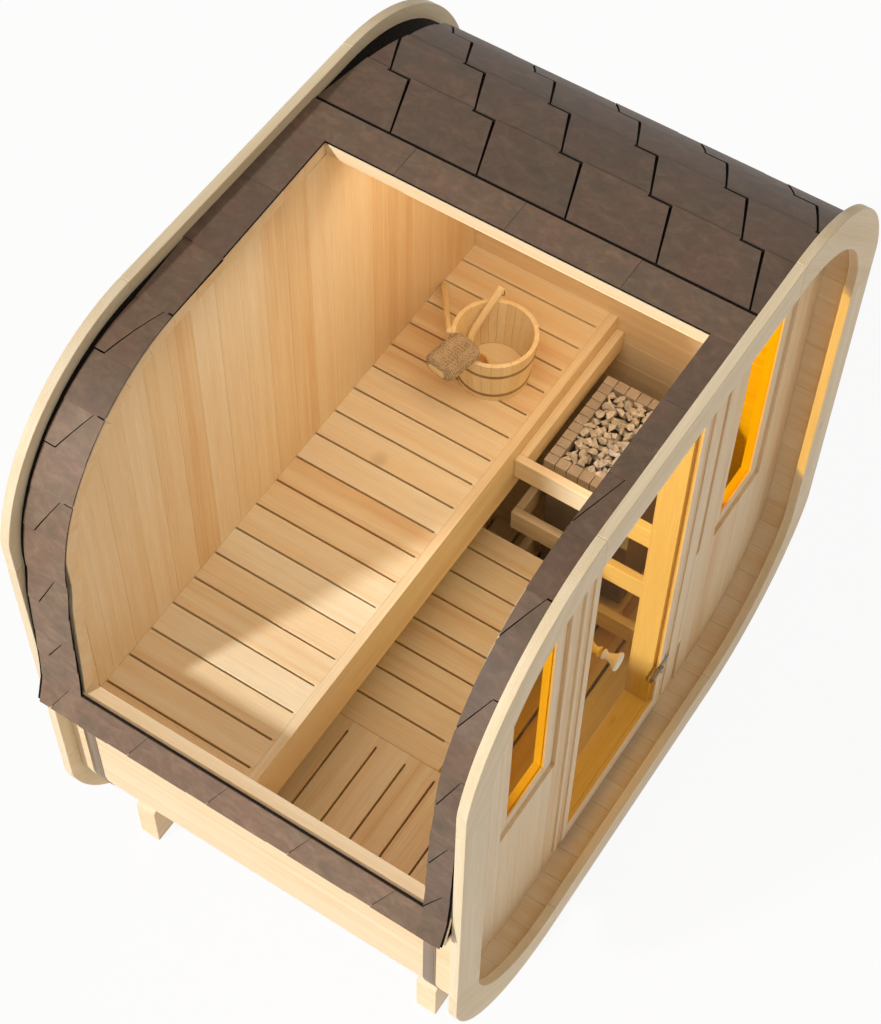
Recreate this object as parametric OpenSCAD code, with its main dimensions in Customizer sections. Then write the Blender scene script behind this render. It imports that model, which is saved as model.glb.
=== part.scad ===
// Cube sauna: a rounded-square timber cabin on two cradle beams, shown with
// its roof and left side cut open above the bench.
// Millimetres. Origin: centre of the footprint on the ground, +Z up,
// front (door side) towards -Y, +X to the right when facing the front.

/* [Cabin] */
// Width over the end rings
width = 2060; // [2000:1:2200]
// Height of the end rings
height = 2145; // [2100:1:2300]
// Depth from the front ring's face to the back ring's face
depth = 1360; // [1300:1:1600]
// Gap between the ground and the underside of the rings
ring_clear = 136; // [110:1:180]
// Outer radius of the rings' corner boards
corner_r = 570; // [550:1:600]
// How much the straight sides trim off the corner arcs
corner_trim = 11; // [5:1:18]

/* [Rings and shell] */
// Width of a ring board
ring_w = 115; // [90:1:130]
// Thickness of a ring board
ring_t = 29; // [20:1:45]
// How far the rings stand proud of the staves
ring_proud = 45; // [30:1:60]
// Thickness of the wall staves
stave_t = 40; // [28:1:45]
// Thickness of the roof shingles
shingle_t = 6; // [4:1:10]
// Extra thickness of the ridge cap over the shingles
cap_extra = 4; // [2:1:8]
// Half width of the ridge cap
cap_half = 285; // [250:1:320]
// Height above the ground at which the shingles end
shingle_foot = 1130; // [1120:1:1160]
// How far the shingles' foot stands out beyond the roof's curve
skirt_out = 75; // [40:1:90]
// Width of a steel strap
strap_w = 32; // [20:1:50]
// Thickness of a steel strap
strap_t = 2; // [1:0.5:4]

/* [Cutaway] */
// Right edge of the opening in the roof, from the middle
cut_x = 190; // [150:1:260]
// Height of the opening's lower edge on the left side
cut_z = 1110; // [1090:1:1200]
// Distance of the opening's front edge from the front
cut_front = 105; // [100:1:130]
// Distance of the opening's back edge from the back, in the middle
cut_back_rim = 143; // [143:1:165]
// Angle by which the back edge runs out of square
cut_turn = 1.6; // [0:0.1:3]
// Height of the shingles left below the opening on the left side
left_top = 1240; // [1200:1:1260]

/* [End walls] */
// Distance of the front wall's outer face from the front
wall_in = 104; // [90:1:110]
// Thickness of the end walls' boards
wall_t = 22; // [18:1:28]
// Distance of the back wall's inner face from the back
back_wall_rim = 140; // [130:1:142]

/* [Door] */
// Half width of the door opening
door_half = 258; // [230:1:280]
// Bottom of the door opening above the ground
door_sill_z = 330; // [310:1:350]
// From the ceiling staves down to the top of the door opening
door_drop = 200; // [180:1:290]
// Width of the casing around the door
door_casing = 72; // [65:1:90]
// How far the door casing stands proud of the wall
casing_proud = 8; // [4:1:12]
// Distance of the door lining's inner face from the front
lining_in = 192; // [170:1:200]
// Thickness of the door glass
glass_t = 8; // [6:1:10]
// Gap around the door glass
glass_gap = 6; // [5:0.5:8]
// Height of the door knobs above the ground
knob_z = 1255; // [1100:1:1400]

/* [Windows] */
// Gap between the left window and the left wall
window_left_gap = 280; // [265:1:295]
// Gap between the right window and the right wall
window_right_gap = 146; // [130:1:160]
// Width of a window
window_w = 284; // [260:1:290]
// Bottom of the windows above the ground
window_z = 933; // [900:1:1000]
// From the ceiling staves down to the top of the windows
window_drop = 266; // [250:1:360]
// Width of the window casing
window_casing = 48; // [35:1:60]

/* [Benches] */
// Height of the upper bench above the ground
bench_z = 1110; // [1090:1:1110]
// Depth of the upper bench
bench_d = 520; // [500:1:540]
// Height of the lower bench above the ground
step_z = 722; // [700:1:740]
// How far the lower bench stands out in front of the upper one
step_d = 282; // [250:1:300]
// Right end of the lower bench
step_right_x = 288; // [260:1:310]
// Inner edge of the lower bench's left part
step_left_x = -486; // [-500:1:-470]
// Pitch of the bench slats
slat_pitch = 99.5; // [95:0.5:105]
// Gap between two slats
slat_gap = 8; // [6:1:12]
// Thickness of the slats
slat_t = 28; // [22:1:32]
// Height of the floor boards above the ground
floor_z = 270; // [265:1:290]

/* [Heater] */
// Gap between the heater's rim and the right wall
heater_wall_gap = 125; // [110:1:140]
// Width of the heater's rim
heater_w = 380; // [340:1:400]
// Gap between the heater's rim and the upper bench
heater_bench_gap = 50; // [40:1:70]
// Depth of the heater's rim
heater_d = 320; // [280:1:380]
// Height of the heater's rim above the ground
heater_z = 990; // [950:1:1020]

/* [Hidden] */
$fn = 96;

mid_z = ring_clear + height / 2;
corner_x = width / 2 + corner_trim - corner_r;
corner_z = height / 2 - corner_r;
shell_out = ring_proud;
shell_in = ring_proud + stave_t;
inner_half = width / 2 - shell_in;
inner_floor = ring_clear + shell_in;
ceiling_z = ring_clear + height - shell_in;
cut_back = depth - cut_back_rim;
back_wall_in = depth - back_wall_rim;
bench_y = back_wall_in - bench_d;
cap_t = shingle_t + cap_extra;
far = 3000;

pine = "#e3c08c";
spruce = "#ecd0a0";
slate = "#6b5c52";
steel = "#55504c";
amber = [0.85, 0.45, 0.05, 0.6];
bronze = [0.80, 0.55, 0.20, 0.4];

// Distance from the front ring's face, as a Y coordinate.
function from_front(d) = d - depth / 2;

// Cross-section of the cabin, its outline moved inwards by "inset".
module outline(inset) {
    r = corner_r - inset;
    intersection() {
        union() {
            square([2 * (corner_x + r), 2 * corner_z], center = true);
            square([2 * corner_x, 2 * (corner_z + r)], center = true);
            for (sx = [-1, 1], sz = [-1, 1])
                translate([sx * corner_x, sz * corner_z])
                    circle(r = r);
        }
        square([width - 2 * inset, height - 2 * inset], center = true);
    }
}

// A band of the cross-section between two insets.
module band(outer, inner) {
    difference() {
        outline(outer);
        outline(inner);
    }
}

// Extrudes a cross-section between two distances from the front.
module along(y0, y1) {
    translate([0, from_front(y1), mid_z])
        rotate([90, 0, 0])
            linear_extrude(y1 - y0)
                children();
}

// A rectangle of the cross-section, its heights given above the ground.
module region(x0, x1, z0, z1) {
    translate([x0, z0 - mid_z])
        square([x1 - x0, z1 - z0]);
}

// A block given by its limits, with y measured from the front.
module block(x0, x1, y0, y1, z0, z1) {
    translate([x0, from_front(y0), z0])
        cube([x1 - x0, y1 - y0, z1 - z0]);
}

// What lies inside the staves.
module inside() {
    along(0, depth)
        outline(shell_in);
}

/* Cradle beams */
beam_half = width / 2 - 164;
beam_w = 70;
beam_h = 210;
beam_y = [169, depth - 150];

module foot_beams() {
    color(spruce)
        difference() {
            for (y = beam_y)
                block(-beam_half, beam_half, y, y + beam_w, 0, beam_h);
            along(0, depth)
                outline(shell_out);
        }
}

/* End rings */
module ring_boards(y) {
    color(spruce)
        along(y, y + ring_t)
            intersection() {
                band(0, ring_w);
                union() {
                    square([2 * corner_x, far], center = true);
                    square([far, 2 * corner_z], center = true);
                }
            }
}

module ring_corners(y) {
    color(spruce)
        along(y, y + ring_t)
            difference() {
                band(0, ring_w);
                square([2 * corner_x, far], center = true);
                square([far, 2 * corner_z], center = true);
            }
}

/* Shell of staves */
top_z = mid_z + corner_z;
low_z = mid_z - corner_z;

module shell_piece(y0, y1) {
    color(pine)
        along(y0, y1)
            intersection() {
                band(shell_out, shell_in);
                children();
            }
}

module shell_bottom() {
    shell_piece(ring_t, depth - ring_t)
        region(-corner_x, corner_x, 0, low_z);
}

module shell_lower_corners() {
    shell_piece(ring_t, depth - ring_t)
        for (side = [-1, 1])
            translate([side * (corner_x + far / 2), low_z / 2 - mid_z])
                square([far, low_z], center = true);
}

module shell_right_wall() {
    shell_piece(ring_t, depth - ring_t)
        region(0, far, low_z, top_z);
}

module shell_right_corner() {
    shell_piece(ring_t, depth - ring_t)
        region(corner_x, far, top_z, far);
}

module shell_roof() {
    shell_piece(ring_t, depth - ring_t)
        region(cut_x, corner_x, top_z, far);
}

module shell_left_wall() {
    shell_piece(ring_t, depth - ring_t)
        region(-far, 0, low_z, cut_z);
}

module hoop_region() {
    region(-far, cut_x, cut_z, far);
}

// Everything in front of the opening's back edge.
module before_back_cut() {
    translate([0, from_front(cut_back), -far / 2])
        rotate([0, 0, cut_turn])
            translate([-far, -far, 0])
                cube([2 * far, far, 2 * far]);
}

module shell_front_hoop() {
    shell_piece(ring_t, cut_front)
        hoop_region();
}

module shell_back_hoop() {
    difference() {
        shell_piece(cut_back - 40, depth - ring_t)
            hoop_region();
        before_back_cut();
    }
}

/* Shingles, ridge cap and straps */
skirt_r = corner_x + corner_r - shell_out;
// Outline of the shingles' skirt: its share of skirt_out, and its share of the way down.
skirt = [[0, 0], [0.24, 0.19], [0.37, 0.45], [0.48, 0.71], [0.59, 0.85], [1, 1]];

// Cross-section of the roof and its skirts, grown by "t".
module roof_outline(t) {
    for (side = [-1, 1]) {
        translate([side * corner_x, corner_z])
            circle(r = corner_r - shell_out + t);
        polygon(concat([[0, top_z - mid_z]],
            [for (p = skirt) [side * (skirt_r + t + p[0] * skirt_out),
                corner_z - p[1] * (top_z - shingle_foot)]],
            [[0, shingle_foot - mid_z]]));
    }
    square([2 * corner_x, height - 2 * shell_out + 2 * t], center = true);
}

module shingle_piece(y0, y1, t = shingle_t) {
    color(slate)
        along(y0, y1)
            intersection() {
                difference() {
                    roof_outline(t);
                    roof_outline(0);
                }
                children();
            }
}

module roof_shingles() {
    shingle_piece(ring_t, depth - ring_t)
        region(cap_half, far, top_z, far);
}

module right_wall_shingles() {
    shingle_piece(ring_t, depth - ring_t)
        region(corner_x, far, shingle_foot, top_z);
}

module ridge_cap() {
    shingle_piece(ring_t, depth - ring_t, cap_t)
        region(cut_x, cap_half, top_z, far);
    shingle_piece(ring_t, cut_front, cap_t)
        region(-cap_half, cut_x, top_z, far);
    difference() {
        shingle_piece(cut_back - 40, depth - ring_t, cap_t)
            region(-cap_half, cut_x, top_z, far);
        before_back_cut();
    }
}

module left_band() {
    region(-far, -cap_half, shingle_foot, far);
}

module front_hoop_shingles() {
    shingle_piece(ring_t, cut_front)
        left_band();
}

module back_hoop_shingles() {
    difference() {
        shingle_piece(cut_back - 40, depth - ring_t)
            left_band();
        before_back_cut();
    }
}

module left_wall_shingles() {
    intersection() {
        shingle_piece(cut_front, cut_back + 40)
            region(-far, -corner_x, shingle_foot, left_top);
        before_back_cut();
    }
}

strap_y = [124, depth - 156];
strap_top = shingle_foot - 35;

module steel_straps() {
    color(steel)
        for (y = strap_y)
            along(y, y + strap_w)
                intersection() {
                    band(shell_out - strap_t, shell_out);
                    difference() {
                        region(-far, far, 0, strap_top);
                        region(-beam_half, beam_half, 0, beam_h);
                    }
                }
}

/* End walls */
jamb_t = 32;
stop_w = 14;
stop_clear = 5;
door_top_z = ceiling_z - door_drop;
frame_half = door_half + jamb_t;
frame_top = door_top_z + jamb_t;
wall_out = wall_in + wall_t;
window_left_x = -inner_half + window_left_gap;
window_right_x = inner_half - window_right_gap - window_w;
window_h = ceiling_z - window_drop - window_z;

module window_holes() {
    for (x = [window_left_x, window_right_x])
        block(x, x + window_w, 0, depth / 2, window_z, window_z + window_h);
}

module front_wall_piece() {
    color(pine)
        difference() {
            along(wall_in, wall_out)
                intersection() {
                    outline(shell_in);
                    children();
                }
            window_holes();
            slot_beside_window();
        }
}

slot_x = window_right_x - 113;
slot_w = 20;
slot_z = 980;
slot_depth = 9;

module slot_beside_window() {
    block(slot_x, slot_x + slot_w, wall_in - 1, wall_in + slot_depth, slot_z, window_z + window_h);
}

module front_wall_left() {
    front_wall_piece()
        region(-far, -frame_half, 0, far);
}

module front_wall_right() {
    front_wall_piece()
        region(frame_half, far, 0, far);
}

module front_wall_over_door() {
    front_wall_piece()
        region(-frame_half, frame_half, frame_top, far);
}

module back_wall() {
    color(pine)
        along(back_wall_in, back_wall_in + wall_t)
            outline(shell_in);
}

/* Door frame */
casing_y = wall_in - casing_proud;
leaf_y = casing_y + 3;
leaf_back = leaf_y + glass_t;
stop_y = leaf_back + stop_clear;
casing_half = door_half + door_casing;
casing_top = door_top_z + door_casing;

// Left jamb: casing, lining and stop in one profile.
module jamb() {
    color(spruce) {
        block(-casing_half, -door_half, casing_y, wall_in, inner_floor, casing_top);
        block(-frame_half, -door_half, wall_in, lining_in, inner_floor, frame_top);
        block(-door_half - 1, -door_half + stop_w, stop_y, lining_in, inner_floor, door_top_z);
    }
}

module door_head() {
    color(spruce) {
        block(-door_half, door_half, casing_y, wall_in, door_top_z, casing_top);
        block(-door_half, door_half, wall_in, lining_in, door_top_z, frame_top);
        block(-door_half + stop_w, door_half - stop_w, stop_y, lining_in,
            door_top_z - stop_w, door_top_z + 1);
    }
}

module door_sill() {
    color(spruce) {
        block(-door_half, door_half, casing_y, stop_y, inner_floor, door_sill_z);
        block(-door_half + stop_w, door_half - stop_w, stop_y, lining_in,
            inner_floor, door_sill_z);
    }
}

/* Windows */
window_face = wall_in + 11;
window_back = wall_out + 22;
pane_y = window_face + 6;
pane_t = 4;

module window_casings() {
    color(spruce)
        for (x = [window_left_x, window_right_x])
            difference() {
                block(x, x + window_w, window_face, window_back, window_z, window_z + window_h);
                block(x + window_casing, x + window_w - window_casing, 0, depth / 2,
                    window_z + window_casing, window_z + window_h - window_casing);
            }
}

module window_panes() {
    color(amber)
        for (x = [window_left_x, window_right_x])
            block(x + window_casing, x + window_w - window_casing, pane_y, pane_y + pane_t,
                window_z + window_casing, window_z + window_h - window_casing);
}

/* Door leaf, hinges and knobs */
leaf_half = door_half - glass_gap;
leaf_bottom = door_sill_z + glass_gap;
leaf_top = door_top_z - glass_gap;
hinge_h = 28;
hinge_z = [door_sill_z + 210, door_top_z - 120];
axis_x = door_half - 2;
axis_y = casing_y - 9;
barrel_r = 6;
pin_r = 3;
pin_clear = 0.05;
knuckle_gap = 1;
plate_t = 4;
arm_t = 6;
clamp_w = 43;
clamp_x = leaf_half - 6;
wing_x = axis_x + 5;
wing_w = 46;

module door_glass() {
    color(bronze)
        block(-leaf_half, leaf_half, leaf_y, leaf_back, leaf_bottom, leaf_top);
}

module on_axis(z) {
    translate([axis_x, from_front(axis_y), z])
        children();
}

// Clamps on the glass, each with the bored upper knuckle of a hinge.
module door_clamps() {
    color("silver")
        for (z = hinge_z) {
            difference() {
                union() {
                    on_axis(z + knuckle_gap)
                        cylinder(r = barrel_r, h = hinge_h / 2 - knuckle_gap);
                    block(clamp_x - clamp_w, axis_x, axis_y - arm_t / 2, axis_y + arm_t / 2,
                        z + knuckle_gap, z + hinge_h / 2);
                    block(clamp_x - clamp_w, clamp_x, axis_y + arm_t / 2 - 1, leaf_y,
                        z - hinge_h / 2, z + hinge_h / 2);
                }
                on_axis(z - hinge_h / 2)
                    cylinder(r = pin_r + pin_clear, h = 2 * hinge_h);
            }
            block(clamp_x - clamp_w, clamp_x - 8, leaf_back, leaf_back + plate_t,
                z - hinge_h / 2, z + hinge_h / 2);
        }
}

// Plates on the casing, each with the lower knuckle and the pin of a hinge.
module hinge_frame_plates() {
    color("silver")
        for (z = hinge_z) {
            block(wing_x, wing_x + wing_w, casing_y - plate_t, casing_y,
                z - hinge_h / 2, z + hinge_h / 2);
            block(axis_x, wing_x + 6, axis_y - arm_t / 2, casing_y - plate_t + 1,
                z - hinge_h / 2, z - knuckle_gap);
            on_axis(z - hinge_h / 2)
                cylinder(r = barrel_r, h = hinge_h / 2 - knuckle_gap);
            on_axis(z - hinge_h / 2)
                cylinder(r = pin_r, h = hinge_h);
        }
}

knob_x = 76 - leaf_half;

// A turned knob along Y, its neck on the glass.
module knob(len, tip_r) {
    rotate([90, 0, 0]) {
        cylinder(r = 14, h = 6);
        translate([0, 0, 6])
            cylinder(r1 = 9, r2 = tip_r, h = len - 12);
        translate([0, 0, len - 6])
            cylinder(r1 = tip_r, r2 = tip_r - 4, h = 6);
    }
}

module door_knobs() {
    color("wheat") {
        translate([knob_x, from_front(leaf_y), knob_z])
            knob(52, 29);
        translate([knob_x, from_front(leaf_back), knob_z])
            mirror([0, 1, 0])
                knob(52, 29);
    }
}

/* Floor and benches */
floor_clear = 8;
floor_t = 28;
floor_start = lining_in + 6;
floor_board = 90;
floor_pitch = 100;
floor_drop = low_z - floor_z + floor_t;
floor_half = corner_x + sqrt(pow(corner_r - shell_in, 2) - pow(floor_drop, 2)) - floor_clear;
floor_bearers = [31 - corner_x, -20, corner_x - 71];
floor_count = floor((back_wall_in - 4 - floor_start - floor_board) / floor_pitch) + 1;

module floor_boards() {
    color(pine) {
        for (i = [0 : floor_count - 1])
            block(-floor_half, floor_half, floor_start + i * floor_pitch,
                floor_start + i * floor_pitch + floor_board, floor_z - floor_t, floor_z);
        for (x = floor_bearers)
            block(x, x + 40, floor_start, back_wall_in - 4, inner_floor, floor_z - floor_t);
    }
}

border_w = 38;
slat_under = bench_z - slat_t;
first_gap = inner_half - 73;
slat_gaps = floor((first_gap + inner_half) / slat_pitch) + 1;
bearer_h = 40;

// Slats along Y between x0 and x1, with gaps every slat_pitch from gap_x to the left.
module slats(x0, x1, y0, y1, z, gap_x, count) {
    difference() {
        block(x0, x1, y0, y1, z - slat_t, z);
        for (i = [0 : count - 1])
            block(gap_x - i * slat_pitch - slat_gap / 2, gap_x - i * slat_pitch + slat_gap / 2,
                y0 - 1, y1 + 1, z - far, z + far);
    }
}

module upper_bench() {
    color(spruce)
        intersection() {
            union() {
                slats(-inner_half, inner_half, bench_y + border_w, back_wall_in, bench_z,
                    first_gap, slat_gaps);
                block(-inner_half, inner_half, bench_y + slat_t, bench_y + border_w + 1,
                    slat_under, bench_z);
                for (y = [bench_y + 45, back_wall_in - 85])
                    block(-inner_half, inner_half, y, y + 45, slat_under - bearer_h, slat_under);
            }
            inside();
        }
}

fascia_joint = bench_z - 137;
fascia_foot = bench_z - 214;
fascia_bearers = [245 - inner_half, 0, inner_half - 285];

module bench_fascia() {
    color(spruce) {
        block(-inner_half, inner_half, bench_y, bench_y + slat_t, fascia_joint + 2, bench_z);
        block(-inner_half, inner_half, bench_y + 3, bench_y + slat_t, fascia_foot, fascia_joint - 2);
        for (x = fascia_bearers)
            block(x, x + 40, bench_y + slat_t, bench_y + slat_t + 17, fascia_foot,
                slat_under - bearer_h);
    }
}

step_y = bench_y - step_d;
step_back = bench_y + 90;
step_border = 37;
step_gap_x = step_right_x - 86;
step_gaps = floor((step_gap_x - step_left_x) / slat_pitch) + 1;
step_split = step_left_x - 33;
leg_w = 40;

module lower_bench() {
    color(spruce) {
        slats(step_left_x, step_right_x, step_y + step_border, step_back, step_z, step_gap_x,
            step_gaps);
        block(step_left_x, step_right_x, step_y, step_y + step_border + 1, step_z - slat_t, step_z);
        for (y = [step_y + 4, step_back - 49])
            block(step_left_x, step_right_x, y, y + 45, step_z - slat_t - bearer_h,
                step_z - slat_t);
        for (y = [step_y + 4, step_back - 49])
            block(step_right_x - leg_w, step_right_x, y, y + leg_w, floor_z,
                step_z - slat_t - bearer_h);
    }
}

return_front = wall_out;
return_gap_y = step_back - 82;
return_gaps = floor((return_gap_y - return_front) / slat_pitch) + 1;

// The part of the lower bench along the left wall, with slats along X.
module lower_bench_return() {
    color(spruce)
        intersection() {
            union() {
                difference() {
                    block(-inner_half, step_left_x, return_front, step_back, step_z - slat_t, step_z);
                    for (i = [0 : return_gaps - 1])
                        block(-far, step_split, return_gap_y - i * slat_pitch - slat_gap / 2,
                            return_gap_y - i * slat_pitch + slat_gap / 2,
                            step_z - far, step_z + far);
                }
                for (x = [-inner_half, (step_left_x - inner_half) / 2 - 24.5, step_left_x - 40])
                    block(x, x + 40, return_front, step_back, step_z - slat_t - bearer_h,
                        step_z - slat_t);
            }
            inside();
        }
}

/* Heater and its guard */
heater_rim_h = 40;
heater_inset = 15;
heater_rim_w = 52;
heater_base_h = 40;
stand_z = floor_z + 106;
stand_t = 22;
stand_leg = 40;
heater_x = inner_half - heater_wall_gap - heater_w;
heater_back = bench_y - heater_bench_gap;
heater_front = heater_back - heater_d;
stone_depth = 90;

// A shelf with two legs, its right edge scribed to the curved wall.
module heater_stand() {
    color(spruce) {
        intersection() {
            block(heater_x - 10, inner_half, heater_front + 5, heater_back - 5,
                stand_z - stand_t, stand_z);
            inside();
        }
        for (y = [heater_front + 5, heater_back - 5 - stand_leg])
            block(heater_x, heater_x + stand_leg, y, y + stand_leg, floor_z,
                stand_z - stand_t);
    }
}

module heater_body() {
    color("#9c8f80")
        difference() {
            union() {
                block(heater_x, heater_x + heater_w, heater_front, heater_back,
                    heater_z - heater_rim_h, heater_z);
                block(heater_x + heater_inset, heater_x + heater_w - heater_inset,
                    heater_front + heater_inset, heater_back - heater_inset,
                    stand_z + heater_base_h, heater_z - heater_rim_h + 1);
                block(heater_x + 3 * heater_inset, heater_x + heater_w - 3 * heater_inset,
                    heater_front + 3 * heater_inset, heater_back - 3 * heater_inset,
                    stand_z, stand_z + heater_base_h + 1);
            }
            block(heater_x + heater_rim_w, heater_x + heater_w - heater_rim_w,
                heater_front + heater_rim_w, heater_back - heater_rim_w,
                heater_z - stone_depth, heater_z + 1);
        }
}

module heater_stones() {
    color("#c9bfb0")
        block(heater_x + heater_rim_w, heater_x + heater_w - heater_rim_w,
            heater_front + heater_rim_w, heater_back - heater_rim_w,
            heater_z - stone_depth, heater_z + 8);
}

rail_t = 28;
rail_h = 85;
rail_pitch = 279;
rail_top = [for (i = [0 : 2]) bench_z - 55 - i * rail_pitch];
guard_x = heater_x - 88;

module heater_guard() {
    color(spruce)
        intersection() {
            for (z = rail_top) {
                block(guard_x, guard_x + rail_t, wall_out, bench_y, z - rail_h, z);
                block(guard_x, inner_half, bench_y - rail_t, bench_y, z - rail_h, z);
            }
            inside();
        }
}

/* Things on the bench */
bucket_x = inner_half - 410;
bucket_y = back_wall_in - 327;
bucket_h = 224;
bucket_r = 130;
bucket_base_r = 108;
bucket_wall = 14;
hoop_z = [44, 158];
hoop_w = 12;
hoop_t = 1.5;

// Outer radius of the bucket at a height above its base.
function bucket_r_at(z) = bucket_base_r + (bucket_r - bucket_base_r) * z / bucket_h;

module bucket() {
    color(spruce)
        translate([bucket_x, from_front(bucket_y), bench_z])
            difference() {
                union() {
                    cylinder(r1 = bucket_base_r, r2 = bucket_r, h = bucket_h);
                    for (z = hoop_z)
                        translate([0, 0, z])
                            cylinder(r1 = bucket_r_at(z) + hoop_t,
                                r2 = bucket_r_at(z + hoop_w) + hoop_t, h = hoop_w);
                }
                translate([0, 0, 20])
                    cylinder(r1 = bucket_base_r - bucket_wall, r2 = bucket_r - bucket_wall + 1,
                        h = bucket_h);
            }
}

// A round rod between two points.
module rod(a, b, r) {
    v = b - a;
    run = norm([v[0], v[1]]);
    translate(a)
        rotate([0, atan2(run, v[2]), atan2(v[1], v[0])])
            cylinder(r = r, h = norm(v));
}

cup_x = bucket_x - 45;
cup_y = bucket_y + 32;
cup_r = 36;
cup_h = 58;
cup_z = bench_z + 20;
ladle_bend = [bucket_x + 7, from_front(bucket_y + bucket_r - 43), bench_z + bucket_h - 84];
ladle_end = [bucket_x + bucket_r - 5, from_front(bucket_y + 55), bench_z + bucket_h + 51];
ladle_r = 8;

// The cup stands in the bucket, the handle leans on its rim.
module ladle() {
    color(spruce) {
        translate([cup_x, from_front(cup_y), cup_z])
            difference() {
                cylinder(r = cup_r, h = cup_h);
                translate([0, 0, 8])
                    cylinder(r = cup_r - 6, h = cup_h);
            }
        rod([cup_x, from_front(cup_y) + cup_r - 3, cup_z + cup_h - 10], ladle_bend, ladle_r);
        translate(ladle_bend)
            sphere(r = ladle_r + 0.8);
        rod(ladle_bend, ladle_end, ladle_r);
    }
}

brush_w = 110;
brush_t = 64;
brush_len = 142;
brush_x = bucket_x - bucket_r - 34;
brush_y = bucket_y + 42;
brush_turn = 9.5;
stick_r = 7;
stick_top = [brush_x + 71, from_front(brush_y + 59), bench_z + bucket_h + 30];
stick_foot = [bucket_x + 210, from_front(back_wall_in - 14), bench_z + 5.8];

// The knitted head lies on the bucket's rim, the stick ends on the bench.
module bath_brush() {
    color("tan")
        translate([brush_x, from_front(brush_y), bench_z + bucket_h + brush_t / 2])
            rotate([90, 0, 90 + brush_turn])
                translate([0, 0, -brush_len / 2])
                    linear_extrude(brush_len) {
                        square([brush_w - brush_t, brush_t], center = true);
                        for (side = [-1, 1])
                            translate([side * (brush_w - brush_t) / 2, 0])
                                circle(r = brush_t / 2);
                    }
    color(spruce)
        rod(stick_top, stick_foot, stick_r);
}

foot_beams();
ring_boards(0);  // front_ring_boards
ring_corners(0);  // front_ring_corners
ring_boards(depth - ring_t);  // back_ring_boards
ring_corners(depth - ring_t);  // back_ring_corners
shell_bottom();
shell_lower_corners();
shell_right_wall();
shell_right_corner();
shell_roof();
shell_left_wall();
shell_front_hoop();
shell_back_hoop();
roof_shingles();
right_wall_shingles();
ridge_cap();
front_hoop_shingles();
back_hoop_shingles();
left_wall_shingles();
steel_straps();
front_wall_left();
front_wall_right();
front_wall_over_door();
back_wall();
jamb();  // door_jamb_left
mirror([1, 0, 0]) jamb();  // door_jamb_right
door_head();
door_sill();
window_casings();
window_panes();
hinge_frame_plates();
floor_boards();
upper_bench();
bench_fascia();
lower_bench();
lower_bench_return();
heater_stand();
heater_body();
heater_stones();
heater_guard();
bucket();
ladle();
bath_brush();
door_glass();
door_clamps();
door_knobs();
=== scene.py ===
"""Looks of the cube sauna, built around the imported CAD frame."""
import math
import random

import bmesh
import bpy
import numpy as np
from mathutils import Matrix, Vector

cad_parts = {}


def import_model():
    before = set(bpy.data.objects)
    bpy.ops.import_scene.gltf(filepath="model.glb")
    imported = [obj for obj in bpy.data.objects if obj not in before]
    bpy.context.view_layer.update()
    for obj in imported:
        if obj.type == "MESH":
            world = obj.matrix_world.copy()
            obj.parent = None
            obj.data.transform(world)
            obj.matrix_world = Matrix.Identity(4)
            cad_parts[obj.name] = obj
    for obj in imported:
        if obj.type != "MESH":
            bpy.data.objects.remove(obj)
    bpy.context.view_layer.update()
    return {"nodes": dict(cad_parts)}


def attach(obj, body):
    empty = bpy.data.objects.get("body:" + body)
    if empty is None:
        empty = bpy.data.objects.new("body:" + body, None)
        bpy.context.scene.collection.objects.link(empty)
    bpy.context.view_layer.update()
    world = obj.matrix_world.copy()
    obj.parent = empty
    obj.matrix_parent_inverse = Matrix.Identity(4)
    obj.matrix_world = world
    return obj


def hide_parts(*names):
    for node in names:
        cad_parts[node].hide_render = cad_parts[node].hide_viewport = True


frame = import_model()
nodes = frame["nodes"]
rng = random.Random(7)

# ------ sizes, in millimetres
DEPTH = 1360
HALF_W = 1030
MID_Z = 1208.5
CORNER_X = 471
CORNER_R = 570
TOP_Z = 1711         # centres of the upper and lower corner arcs
LOW_Z = 706
CROWN, KEEL = 2281, 136     # top and bottom of the end rings
# the cutaway: its right edge, lower edge, front edge, and back edge, which runs a little askew
CUT_X, CUT_Z, CUT_FRONT = 190, 1110, 105
BACK_CUT = 1217
TURN = math.tan(math.radians(1.6))


def P(x, y, z):
    """A point given in millimetres, y measured from the front ring's face."""
    return (x / 1000, (y - DEPTH / 2) / 1000, z / 1000)


# ------ node helpers
def bare_material(name):
    """A material with an output node only."""
    m = bpy.data.materials.new(name)
    m.use_nodes = True
    t = m.node_tree
    t.nodes.clear()
    return m, t, t.nodes.new("ShaderNodeOutputMaterial")


def new_material(name):
    m, t, out = bare_material(name)
    b = t.nodes.new("ShaderNodeBsdfPrincipled")
    t.links.new(b.outputs[0], out.inputs[0])
    return m, t, b


def set_values(b, **values):
    """Sets the shader's own sockets: Specular_IOR_Level=0.4 and so on."""
    for k, v in values.items():
        b.inputs[k.replace("_", " ")].default_value = v


def node(t, kind, **values):
    n = t.nodes.new("ShaderNode" + kind)
    for k, v in values.items():
        setattr(n, k, v)
    return n


def math_node(t, op, a, b=None, c=None, clamp=False):
    n = node(t, "Math", operation=op, use_clamp=clamp)
    for i, v in enumerate((a, b, c)):
        if v is None:
            continue
        if isinstance(v, (int, float)):
            n.inputs[i].default_value = v
        else:
            t.links.new(v, n.inputs[i])
    return n.outputs[0]


def add(t, a, b, **values):
    return math_node(t, "ADD", a, b, **values)


def times(t, a, b):
    return math_node(t, "MULTIPLY", a, b)


def scaled(t, vector, scale):
    n = node(t, "Mapping")
    n.inputs["Scale"].default_value = scale
    t.links.new(vector, n.inputs["Vector"])
    return n.outputs[0]


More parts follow.
